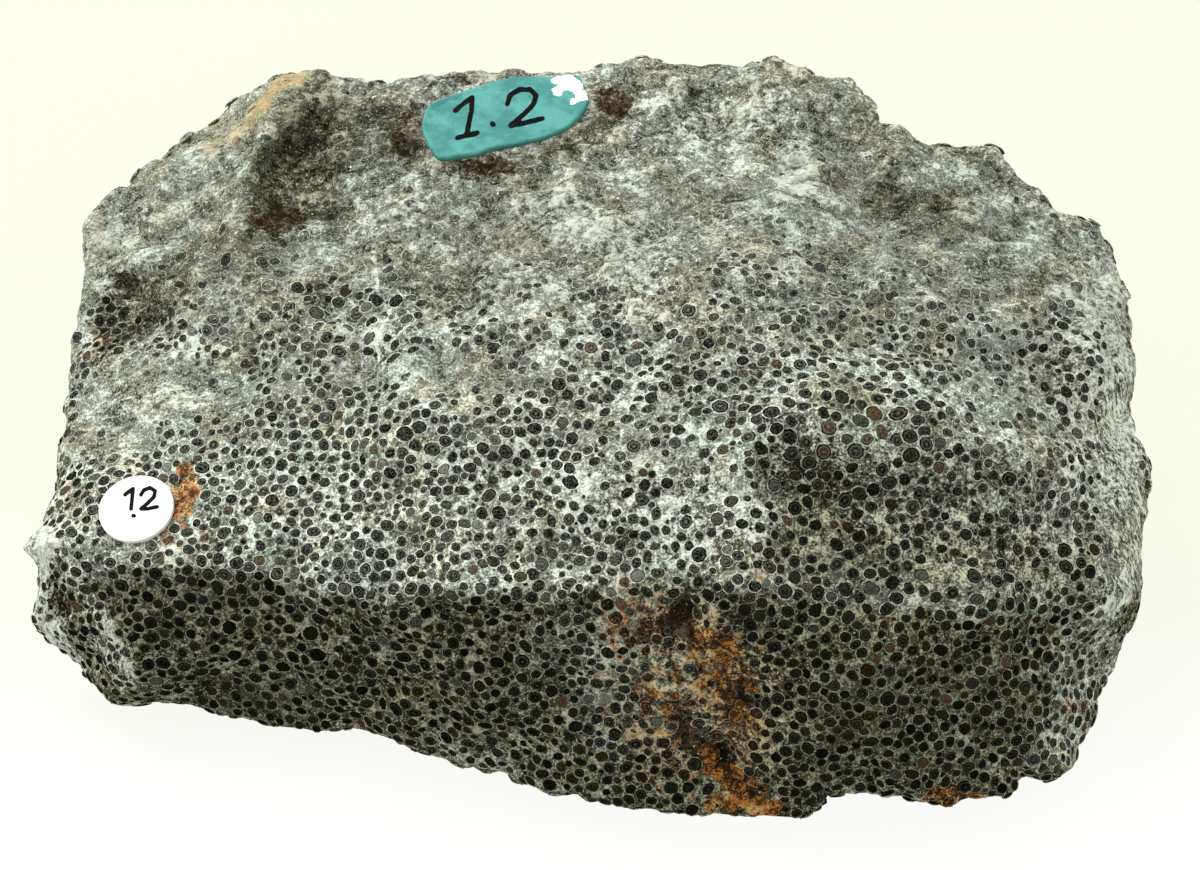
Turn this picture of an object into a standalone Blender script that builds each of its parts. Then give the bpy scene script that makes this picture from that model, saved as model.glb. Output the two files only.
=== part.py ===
"""A hand specimen of oolite: a broken block of stone with a round paper spot and a painted patch stuck on it.

The stone is laid out as its photograph shows it, in millimetres across the picture, up the picture and
towards the eye, and is then stood on the flat spot that it rests on. Blender's units are metres, +Z up.
"""

import math

import bmesh
import bpy
from mathutils import Vector, noise
from mathutils.bvhtree import BVHTree
from mathutils.geometry import delaunay_2d_cdt

MM = 0.001

# How the stone is seen: the eye looks down at it from in front, at this angle and distance.
EYE_ELEVATION = math.radians(45.0)
EYE_DISTANCE = 706.0

# The flat spot that the stone rests on, below the level of the eye's target, and where it is centred.
BASE_LEVEL = -22.0

# The outline of the stone, clockwise from its left end: across, up, towards the eye.
OUTLINE = [
    (-58.8, -19.3, 0.5),
    (-58.6, -13.6, 4.2),
    (-59.4, -11.5, 3.6),
    (-58.2, -8.8, 3.8),
    (-56.7, -3.8, 1.0),
    (-55.9, 2.0, -3.0),
    (-54.7, 10.6, -8.5),
    (-53.7, 17.9, -12.5),
    (-53.6, 21.9, -14.5),
    (-49.5, 26.9, -16.4),
    (-42.9, 32.1, -17.0),
    (-38.0, 35.6, -18.0),
    (-33.2, 38.6, -16.5),
    (-29.2, 39.4, -14.5),
    (-23.1, 38.2, -14.0),
    (-14.5, 39.0, -13.5),
    (-6.0, 38.8, -12.5),
    (0.4, 39.0, -12.5),
    (5.2, 40.3, -13.0),
    (12.0, 39.5, -12.5),
    (19.4, 40.3, -12.4),
    (24.5, 38.9, -12.0),
    (27.8, 37.7, -11.5),
    (31.2, 34.2, -9.5),
    (36.0, 31.8, -8.0),
    (43.4, 30.7, -7.5),
    (47.8, 26.8, -6.0),
    (50.0, 24.0, -6.5),
    (53.5, 22.8, -7.0),
    (55.4, 20.2, -6.0),
    (57.0, 15.0, -3.0),
    (58.1, 7.4, 0.5),
    (58.3, 0.0, 1.5),
    (59.7, -3.4, 0.9),
    (58.7, -12.0, 1.5),
    (58.4, -17.3, 2.3),
    (55.5, -24.5, 3.2),
    (53.9, -29.0, 4.5),
    (51.2, -34.6, 7.5),
    (48.0, -36.7, 9.5),
    (44.0, -38.4, 11.5),
    (37.5, -39.5, 13.5),
    (31.0, -38.6, 15.0),
    (25.5, -38.5, 15.0),
    (22.3, -40.5, 14.0),
    (10.5, -40.2, 13.0),
    (1.2, -38.8, 11.5),
    (-7.0, -36.9, 9.3),
    (-17.8, -33.3, 6.0),
    (-24.0, -31.4, 4.5),
    (-36.0, -30.7, 3.2),
    (-44.0, -29.1, 2.2),
    (-50.7, -28.2, 1.2),
    (-54.0, -25.0, -0.5),
    (-57.1, -22.0, -2.5),
]

# Lines that the broken faces meet along, each from left to right or from top to bottom.
BROW = [
    (-56.0, -13.2, 8.5),
    (-50.2, -14.2, 11.5),
    (-44.5, -13.6, 13.0),
    (-36.0, -14.4, 15.5),
    (-28.7, -16.4, 17.5),
    (-24.6, -17.2, 18.0),
    (-21.6, -18.4, 20.4),
    (-18.6, -16.4, 19.6),
    (-14.9, -16.2, 20.5),
    (-6.8, -17.5, 22.0),
    (0.0, -16.6, 23.0),
    (6.5, -15.4, 24.0),
    (13.0, -17.0, 25.4),
    (19.0, -18.2, 25.2),
    (26.5, -18.5, 24.4),
    (33.7, -18.1, 23.2),
    (44.6, -18.8, 19.8),
    (54.2, -17.6, 12.5),
]
RIGHT_EDGE = [
    (53.0, 12.5, 3.8),
    (52.6, 4.0, 7.5),
    (53.2, -5.3, 11.0),
    (54.6, -8.5, 11.5),
    (55.2, -14.0, 11.5),
]
LEFT_RIB = [
    (-56.8, -15.6, 6.5),
    (-53.5, -20.4, 6.0),
    (-49.5, -26.0, 4.5),
]
TOP_LEFT_EDGE = [
    (-30.5, 37.6, -12.5),
    (-34.0, 34.3, -9.0),
    (-35.6, 28.1, -5.0),
    (-37.0, 22.2, -1.5),
]
HUMP_FOOT = [
    (3.6, 34.3, -7.5),
    (11.3, 25.6, 1.2),
    (22.8, 24.9, 1.6),
    (29.5, 21.6, 4.6),
    (34.4, 17.9, 8.0),
    (40.9, 16.3, 7.0),
]
PANEL_TOP = [
    (17.6, 0.6, 21.4),
    (25.6, 3.4, 22.0),
    (31.0, 1.9, 21.6),
    (36.5, 0.4, 20.4),
    (44.5, -2.4, 17.6),
    (50.8, -4.8, 13.8),
]
PANEL_SIDE = [
    (16.0, -3.4, 23.2),
    (16.8, -9.6, 24.8),
    (18.0, -15.4, 26.0),
]

# The rest of the faces that the eye sees.
FRONT = [
    (-51.5, -5.5, 6.8),
    (-44.5, -3.7, 8.8),
    (-31.8, -1.6, 12.0),
    (-15.9, -0.5, 16.0),
    (0.0, -0.5, 19.0),
    (9.0, 2.0, 19.6),
    (-46.1, 11.7, -1.5),
    (-31.8, 11.1, 5.5),
    (-23.3, 20.7, 2.0),
    (-15.9, 11.1, 10.5),
    (-4.2, 19.6, 6.0),
    (4.2, 21.7, 6.0),
    (10.6, 11.1, 14.5),
    (24.0, 11.0, 14.6),
    (35.5, 8.8, 13.0),
    (44.0, 8.4, 10.0),
    (20.4, -3.6, 21.6),
    (20.8, -12.0, 23.0),
    (29.0, -8.0, 22.2),
    (42.0, -10.0, 18.8),
    (-44.5, 22.0, -9.0),
    (-29.4, 31.6, -10.2),
    (-30.4, 25.4, -5.2),
    (-22.4, 30.2, -5.5),
    (-10.6, 31.3, -6.0),
    (-8.0, 26.0, -0.5),
    (13.4, 30.8, -6.4),
    (18.6, 29.0, -2.8),
    (21.2, 35.4, -7.4),
    (27.6, 29.2, -6.2),
    (35.0, 26.0, -3.5),
    (42.4, 23.4, -1.0),
    (48.8, 18.5, -0.5),
    (-40.0, -22.0, 9.5),
    (-30.0, -24.5, 11.0),
    (-8.0, -28.5, 15.8),
    (10.6, -29.5, 19.4),
    (20.0, -30.5, 19.2),
    (31.0, -29.5, 21.0),
    (45.0, -28.5, 15.8),
]

# The hidden side, in the stone's own frame: to the right, to the rear and up from the flat spot.
REST = [
    (-24.0, -13.0),
    (-4.0, -19.0),
    (19.0, -21.0),
    (33.0, -9.0),
    (29.0, 8.0),
    (8.0, 18.0),
    (-16.0, 16.0),
    (-30.0, 3.0),
]
REAR = [
    (-43.0, -12.0, 2.2),
    (-30.0, -22.0, 2.0),
    (0.0, -30.0, 1.6),
    (26.0, -31.0, 1.4),
    (42.0, -19.0, 1.5),
    (45.0, 0.0, 1.8),
    (36.0, 17.0, 2.4),
    (14.0, 29.0, 3.4),
    (-12.0, 28.0, 2.6),
    (-34.0, 19.0, 3.0),
    (-47.0, 4.0, 4.4),
    (-53.0, -8.0, 4.6),
    (-55.0, 4.0, 11.0),
    (-49.5, 31.0, 10.0),
    (-40.0, 40.5, 14.0),
    (-30.0, 36.0, 7.0),
    (-22.0, 44.0, 19.0),
    (-8.0, 41.0, 11.0),
    (4.0, 45.5, 17.0),
    (16.0, 45.0, 23.0),
    (20.0, 38.5, 8.0),
    (31.0, 40.0, 15.0),
    (43.0, 31.0, 20.0),
    (41.0, 27.0, 7.0),
    (52.0, 15.0, 11.0),
    (54.5, -3.0, 8.0),
    (-33.0, 41.5, 26.0),
    (-12.0, 44.5, 30.0),
    (8.0, 41.5, 32.0),
    (27.0, 40.0, 30.0),
]

# Size of the facets' own triangles, roundness of the edges and roughness left by the break.
LONGEST_EDGE = 3.9
EDGE_ROUNDING_PASSES = 2
EDGE_ROUNDING = 0.3
SWELL_WAVELENGTH, SWELL_HEIGHT = 15.0, 1.0
CHIP_WAVELENGTH, CHIP_HEIGHT, CHIP_OCTAVES, CHIP_MEAN = 7.0, 1.2, 3, 0.45
OUTLINE_CALM, OUTLINE_CALM_WIDTH = 0.4, 6.0

# Hollows (negative) and knobs (positive) on the seen faces: across, up, radius, height.
KNOBS = [
    (-56.3, -18.0, 2.4, -1.6),
    (28.6, 24.0, 4.6, -1.8),
    (31.0, 33.0, 2.4, -0.9),
    (14.2, 34.4, 3.4, -1.0),
    (-33.0, 19.0, 3.4, -0.8),
    (-47.0, 13.5, 4.6, -1.5),
    (-43.4, 18.6, 3.4, -0.8),
    (13.8, -34.0, 5.5, -1.6),
    (10.0, -20.5, 3.6, -1.6),
    (16.4, -27.0, 3.4, -0.9),
    (-16.2, -19.0, 2.8, -1.4),
    (-8.0, -20.0, 3.0, -1.2),
    (26.6, 36.0, 4.4, 0.9),
    (35.2, 24.6, 4.2, 1.0),
    (50.2, 16.8, 3.4, 0.9),
    (57.2, 3.0, 2.2, -1.0),
    (33.0, -38.0, 4.0, 0.9),
]

# The round paper spot: where it is stuck, how far and which way it is turned from the eye, and its size.
SPOT_AT = (-47.9, -7.7)
SPOT_TURN = math.radians(33.0)
SPOT_TURN_TOWARDS = math.radians(108.0)
SPOT_DIAMETER = 8.0
SPOT_THICKNESS = 0.4
SPOT_EDGE_SOFTENING = 0.08
SPOT_SIDES = 40
SPOT_SEAT_RADIUS = 4.8
SPOT_SEAT_BLEND = 2.9

# The painted patch: its outline as seen, clockwise from its left end, and the thickness of the paint.
PATCH_OUTLINE = [
    (-18.0, 32.4),
    (-17.1, 34.8),
    (-14.3, 35.9),
    (-11.6, 36.8),
    (-8.7, 37.7),
    (-3.8, 37.8),
    (-1.2, 37.9),
    (-0.1, 36.6),
    (0.3, 35.2),
    (-0.4, 33.6),
    (-1.4, 32.4),
    (-3.2, 31.3),
    (-5.4, 30.3),
    (-8.4, 29.8),
    (-10.6, 29.5),
    (-12.6, 28.8),
    (-15.7, 28.3),
    (-16.6, 29.0),
    (-17.5, 30.8),
]
PATCH_THICKNESS = 0.45
PATCH_CELL = 1.3
PATCH_MIDDLE = (-9.0, 33.4)
PATCH_CALM_RADIUS, PATCH_CALM = 12.0, 0.8
PATCH_FEEL_RADIUS = 0.8

# The gap that the glue fills, and the closest that two points count as two.
GLUE_GAP = 0.3
NEARNESS = 1e-5
MEAN_STEPS = 16


def as_seen(across, up, towards):
    """The point of the stone's frame, in millimetres, that the eye sees at this place and depth."""
    share = (EYE_DISTANCE - towards) / EYE_DISTANCE
    x, rise = across * share, up * share
    return Vector(
        (
            x,
            rise * math.sin(EYE_ELEVATION) - towards * math.cos(EYE_ELEVATION),
            rise * math.cos(EYE_ELEVATION) + towards * math.sin(EYE_ELEVATION),
        )
    )


def seen_at(point):
    """Where the eye sees a point of the stone's frame: across and up the picture, in millimetres."""
    towards = point.z * math.sin(EYE_ELEVATION) - point.y * math.cos(EYE_ELEVATION)
    rise = point.y * math.sin(EYE_ELEVATION) + point.z * math.cos(EYE_ELEVATION)
    share = (EYE_DISTANCE - towards) / EYE_DISTANCE
    return Vector((point.x / share, rise / share))


def eye():
    return as_seen(0.0, 0.0, EYE_DISTANCE)


def chain(start, count, closed=False):
    """The edges that join a run of neighbouring points."""
    edges = [(start + i, start + i + 1) for i in range(count - 1)]
    return edges + [(start + count - 1, start)] if closed else edges


def add_skin(mesh, outline_verts, inner_points, lines, faces_eye):
    """Triangulates one side of the stone, between its outline and its inner points, and along its lines."""
    points = [v.co.copy() for v in outline_verts] + list(inner_points)
    flat = [seen_at(p) for p in points]
    edges = chain(0, len(outline_verts), closed=True) + lines
    found = delaunay_2d_cdt(flat, edges, [], 1, NEARNESS)
    verts = list(outline_verts) + [mesh.verts.new(p) for p in inner_points]
    for corners in found[2]:
        picked = [verts[found[3][i][0]] for i in corners]
        mesh.faces.new(picked if faces_eye else picked[::-1])


def stone_cage():
    """The stone as large flat facets."""
    mesh = bmesh.new()
    outline = [mesh.verts.new(as_seen(*p)) for p in OUTLINE]
    front, lines = [], []
    for ridge in (BROW, RIGHT_EDGE, LEFT_RIB, TOP_LEFT_EDGE, HUMP_FOOT, PANEL_TOP, PANEL_SIDE):
        lines += chain(len(outline) + len(front), len(ridge))
        front += ridge
    add_skin(mesh, outline, [as_seen(*p) for p in front + FRONT], lines, True)
    rest = [Vector((x, y, BASE_LEVEL)) for x, y in REST]
    rear = [Vector((x, y, BASE_LEVEL + z)) for x, y, z in REAR]
    ring = chain(len(outline), len(rest), closed=True)
    add_skin(mesh, outline, rest + rear, ring, False)
    bmesh.ops.recalc_face_normals(mesh, faces=mesh.faces)
    return mesh


def falloff(distance, radius):
    """1 at the middle, falling smoothly to 0 at the radius."""
    t = min(distance / radius, 1.0)
    return 1.0 - t * t * (3.0 - 2.0 * t)


def roughness_at(point, seen, rim_distance):
    """How far the broken surface stands out of its facet here."""
    swell = noise.noise(point / SWELL_WAVELENGTH) * SWELL_HEIGHT
    chips = noise.turbulence(point / CHIP_WAVELENGTH, CHIP_OCTAVES, False) - CHIP_MEAN
    calm = OUTLINE_CALM + (1.0 - OUTLINE_CALM) * min(rim_distance / OUTLINE_CALM_WIDTH, 1.0)
    calm *= 1.0 - PATCH_CALM * falloff((seen - Vector(PATCH_MIDDLE)).length, PATCH_CALM_RADIUS)
    return (swell + chips * CHIP_HEIGHT) * calm


def knobs_at(seen):
    """How far the hollows and knobs together raise the surface at this place of the picture."""
    height = 0.0
    for across, up, radius, amount in KNOBS:
        height += amount * falloff((seen - Vector((across, up))).length, radius)
    return height


def above_base(mesh):
    return [v for v in mesh.verts if v.co.z > BASE_LEVEL + NEARNESS]


def roughen(mesh):
    """Turns the facets into a broken surface, and leaves the flat spot flat."""
    mesh.normal_update()
    outline = [Vector(p[:2]) for p in OUTLINE]
    moves = []
    for v in above_base(mesh):
        seen = seen_at(v.co)
        move = roughness_at(v.co, seen, min((seen - p).length for p in outline))
        if v.normal.dot(eye() - v.co) > 0.0:
            move += knobs_at(seen)
        moves.append((v, v.normal * move))
    for v, move in moves:
        v.co += move
        v.co.z = max(v.co.z, BASE_LEVEL)


def refine(mesh):
    """Splits the facets' long edges in two until none is longer than the limit."""
    while True:
        long_edges = [e for e in mesh.edges if e.calc_length() > LONGEST_EDGE]
        if not long_edges:
            return
        bmesh.ops.subdivide_edges(mesh, edges=long_edges, cuts=1)
        split_faces = [f for f in mesh.faces if len(f.verts) > 3]
        bmesh.ops.triangulate(mesh, faces=split_faces, quad_method="SHORT_EDGE")


def stone_mesh():
    mesh = stone_cage()
    refine(mesh)
    every_way = {"use_axis_x": True, "use_axis_y": True, "use_axis_z": True}
    for _ in range(EDGE_ROUNDING_PASSES):
        bmesh.ops.smooth_vert(mesh, verts=above_base(mesh), factor=EDGE_ROUNDING, **every_way)
    roughen(mesh)
    return mesh


def sight_hit(tree, across, up):
    """Where the line of sight through a place of the picture meets the stone, and the way it faces there."""
    start = eye()
    way = (as_seen(across, up, 0.0) - start).normalized()
    point, normal, _, _ = tree.ray_cast(start, way)
    return point, normal


def mean_facing(tree, across, up, radius):
    """The middle point and the mean direction of the surface within a radius of a place."""
    total = Vector()
    for step in range(MEAN_STEPS):
        angle = math.tau * step / MEAN_STEPS
        for reach in (radius * 0.5, radius):
            _, normal = sight_hit(tree, across + reach * math.cos(angle), up + reach * math.sin(angle))
            if normal is not None:
                total += normal
    return sight_hit(tree, across, up)[0], total.normalized()


def spot_facing():
    """The direction that the paper spot faces in the stone's frame."""
    across = math.sin(SPOT_TURN) * math.cos(SPOT_TURN_TOWARDS)
    up = math.sin(SPOT_TURN) * math.sin(SPOT_TURN_TOWARDS)
    way = as_seen(across, up, math.cos(SPOT_TURN)) - as_seen(0.0, 0.0, 0.0)
    return way.normalized()


def flatten_seat(mesh):
    """Makes the small level place under the paper spot, and returns its middle."""
    middle, _ = sight_hit(BVHTree.FromBMesh(mesh), *SPOT_AT)
    facing = spot_facing()
    for v in mesh.verts:
        offset = v.co - middle
        height = offset.dot(facing)
        along = (offset - facing * height).length
        if abs(height) < SPOT_SEAT_RADIUS:
            v.co -= facing * height * falloff(max(along - SPOT_SEAT_RADIUS, 0.0), SPOT_SEAT_BLEND)
    return middle


def spot_mesh(middle):
    """A thin disc of paper with a softened edge, standing off its seat by the glue."""
    mesh = bmesh.new()
    bmesh.ops.create_cone(
        mesh,
        cap_ends=True,
        segments=SPOT_SIDES,
        radius1=SPOT_DIAMETER / 2,
        radius2=SPOT_DIAMETER / 2 - SPOT_EDGE_SOFTENING,
        depth=SPOT_THICKNESS,
    )
    facing = spot_facing()
    turn = facing.to_track_quat("Z", "Y").to_matrix().to_4x4()
    bmesh.ops.transform(mesh, matrix=turn, verts=mesh.verts)
    lift = middle + facing * (GLUE_GAP + SPOT_THICKNESS / 2)
    bmesh.ops.translate(mesh, vec=lift, verts=mesh.verts)
    return mesh


def patch_places():
    """The places of the picture that the paint's mesh is hung on: its outline, and a grid inside it."""
    outline = [Vector(p) for p in PATCH_OUTLINE]
    low = [min(p[k] for p in outline) for k in (0, 1)]
    high = [max(p[k] for p in outline) for k in (0, 1)]
    places = list(outline)
    across = low[0] + PATCH_CELL
    while across < high[0]:
        up = low[1] + PATCH_CELL
        while up < high[1]:
            here = Vector((across, up))
            clear = min((here - p).length for p in outline) > PATCH_CELL / 2
            if clear and inside(here, outline):
                places.append(here)
            up += PATCH_CELL
        across += PATCH_CELL
    return places, len(outline)


def inside(point, outline):
    """True where a point lies in a closed outline."""
    crossings = 0
    for i, a in enumerate(outline):
        b = outline[(i + 1) % len(outline)]
        if (a.y > point.y) != (b.y > point.y):
            crossings += point.x < a.x + (point.y - a.y) / (b.y - a.y) * (b.x - a.x)
    return crossings % 2 == 1


def patch_mesh(stone):
    """A film of paint that follows the stone, a glue gap above it."""
    tree = BVHTree.FromBMesh(stone)
    places, rim_count = patch_places()
    found = delaunay_2d_cdt(places, chain(0, rim_count, closed=True), [], 1, NEARNESS)
    mesh = bmesh.new()
    under, over = [], []
    for place in places:
        point, facing = mean_facing(tree, place.x, place.y, PATCH_FEEL_RADIUS)
        under.append(mesh.verts.new(point + facing * GLUE_GAP))
        over.append(mesh.verts.new(point + facing * (GLUE_GAP + PATCH_THICKNESS)))
    for corners in found[2]:
        picked = [found[3][i][0] for i in corners]
        mesh.faces.new([over[i] for i in picked])
        mesh.faces.new([under[i] for i in picked[::-1]])
    for i, j in chain(0, rim_count, closed=True):
        mesh.faces.new((over[i], over[j], under[j]))
        mesh.faces.new((over[i], under[j], under[i]))
    bmesh.ops.recalc_face_normals(mesh, faces=mesh.faces)
    return mesh


def finish_material(name, colour, roughness):
    material = bpy.data.materials.new(name)
    material.use_nodes = True
    shader = material.node_tree.nodes["Principled BSDF"]
    shader.inputs["Base Color"].default_value = (*colour, 1.0)
    shader.inputs["Roughness"].default_value = roughness
    shader.inputs["Metallic"].default_value = 0.0
    return material


def add_part(name, mesh, material, smooth_angle):
    """Makes a named object of a mesh built in millimetres."""
    bmesh.ops.scale(mesh, vec=(MM, MM, MM), verts=mesh.verts)
    data = bpy.data.meshes.new(name)
    mesh.to_mesh(data)
    mesh.free()
    data.materials.append(material)
    data.shade_smooth()
    data.set_sharp_from_angle(angle=math.radians(smooth_angle))
    made = bpy.data.objects.new(name, data)
    bpy.context.scene.collection.objects.link(made)
    return made


def centre_on_base(mesh, others):
    """Puts the frame's origin on the flat spot's level, below the middle of the stone."""
    low = Vector([min(v.co[k] for v in mesh.verts) for k in range(3)])
    high = Vector([max(v.co[k] for v in mesh.verts) for k in range(3)])
    shift = Vector((-(low.x + high.x) / 2, -(low.y + high.y) / 2, -low.z))
    for each in (mesh, *others):
        bmesh.ops.translate(each, vec=shift, verts=each.verts)
    print("the picture's middle lies at", [round(x, 3) for x in shift], "mm")


def build():
    for old in list(bpy.data.objects):
        bpy.data.objects.remove(old, do_unlink=True)
    stone = stone_mesh()
    spot = spot_mesh(flatten_seat(stone))
    patch = patch_mesh(stone)
    centre_on_base(stone, (spot, patch))
    add_part("stone", stone, finish_material("oolite", (0.27, 0.26, 0.24), 0.6), 40.0)
    add_part("paper_spot", spot, finish_material("white_paper", (0.86, 0.86, 0.82), 0.5), 30.0)
    add_part("paint_patch", patch, finish_material("teal_paint", (0.12, 0.42, 0.40), 0.3), 50.0)


build()
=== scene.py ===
"""The looks of the oolite specimen: broken stone, its grains, the paper spot and the paint patch.

Lengths are in metres unless a name ends in _MM. Places on the stone's seen side are named by the pixel
of the 1200 x 870 photograph where they show, and are found on the stone along that pixel's line of sight.
"""

import math
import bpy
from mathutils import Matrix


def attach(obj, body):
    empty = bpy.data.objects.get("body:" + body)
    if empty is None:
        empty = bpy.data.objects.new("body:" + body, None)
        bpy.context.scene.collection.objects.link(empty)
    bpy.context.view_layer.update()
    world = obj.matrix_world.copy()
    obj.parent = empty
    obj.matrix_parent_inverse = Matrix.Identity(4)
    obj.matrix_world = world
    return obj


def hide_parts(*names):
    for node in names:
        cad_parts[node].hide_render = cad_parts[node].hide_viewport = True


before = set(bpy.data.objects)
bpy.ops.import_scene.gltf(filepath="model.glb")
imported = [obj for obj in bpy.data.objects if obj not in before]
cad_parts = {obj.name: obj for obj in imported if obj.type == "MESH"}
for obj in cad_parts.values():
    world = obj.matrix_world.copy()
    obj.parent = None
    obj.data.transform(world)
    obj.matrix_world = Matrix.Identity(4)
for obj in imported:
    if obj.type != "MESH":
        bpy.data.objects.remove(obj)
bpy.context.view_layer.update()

from types import SimpleNamespace

import bmesh
import bpy
import numpy as np
from mathutils import Vector, noise
from mathutils.bvhtree import BVHTree
from mathutils.geometry import delaunay_2d_cdt

MM = 0.001
PHOTO_SIZE = (1200, 870)
SEED = 11

# The photograph's view: one pixel's size at the target, the target's pixel, and its place in the frame.
# FAR is more pixels than any distance in it.
PIXEL = 0.106 * MM
FAR = 1e9
TARGET_PIXEL = (589.0, 437.0)
TARGET = np.array((-0.700, -3.672, 22.0)) * MM
EYE_ELEVATION = math.radians(45.0)
EYE_DISTANCE = 0.706
RIGHT = np.array((1.0, 0.0, 0.0))
UP = np.array((0.0, math.sin(EYE_ELEVATION), math.cos(EYE_ELEVATION)))
TOWARDS = np.array((0.0, -math.cos(EYE_ELEVATION), math.sin(EYE_ELEVATION)))
EYE = TARGET + TOWARDS * EYE_DISTANCE
SENSOR = 36.0

# The stone's outline in the photograph, clockwise from its left tip, as pixels.
OUTLINE = [
    (23, 546), (38, 523), (54, 473), (61, 435), (63, 406), (73, 337), (82, 268), (82, 230), (96, 199),
    (122, 184), (145, 161), (184, 134), (214, 119), (237, 96), (276, 73), (314, 65), (344, 71), (371, 77),
    (413, 75), (452, 69), (509, 67), (536, 71), (589, 71), (600, 63), (638, 57), (696, 63), (730, 61),
    (772, 57), (814, 69), (849, 80), (876, 99), (883, 115), (914, 132), (960, 143), (998, 147), (1006, 161),
    (1040, 184), (1059, 210), (1094, 222), (1111, 245), (1124, 283), (1134, 329), (1136, 367), (1139, 435),
    (1147, 450), (1153, 466), (1151, 481), (1143, 550), (1141, 600), (1132, 630), (1113, 668), (1099, 699),
    (1097, 720), (1078, 745), (1071, 768), (1052, 783), (1029, 781), (1009, 799), (983, 802), (952, 810),
    (929, 808), (906, 799), (883, 802), (830, 800), (814, 812), (799, 819), (734, 818), (688, 816),
    (638, 810), (600, 803), (536, 791), (505, 776), (459, 766), (421, 751), (383, 739), (348, 732),
    (318, 734), (268, 730), (226, 720), (191, 714), (134, 707), (111, 703), (82, 680), (77, 665),
    (50, 645), (34, 619), (36, 565),
]
OUTLINE_MIDDLE = (600.0, 440.0)

# The directions in which the rim is measured, and how far in from it, in pixels, the stone is moved.
RIM_BINS, RIM_WIDTH = 150, 130.0

# Where the lit upper side meets the shaded front side, as pixels.
BROW_X = (40, 96, 150, 190, 250, 344, 387, 421, 536, 600, 677, 765, 906, 983, 1109, 1140)
BROW_Y = (560, 574, 566, 562, 574, 600, 608, 590, 597, 586, 580, 596, 606, 614, 612, 600)

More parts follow.
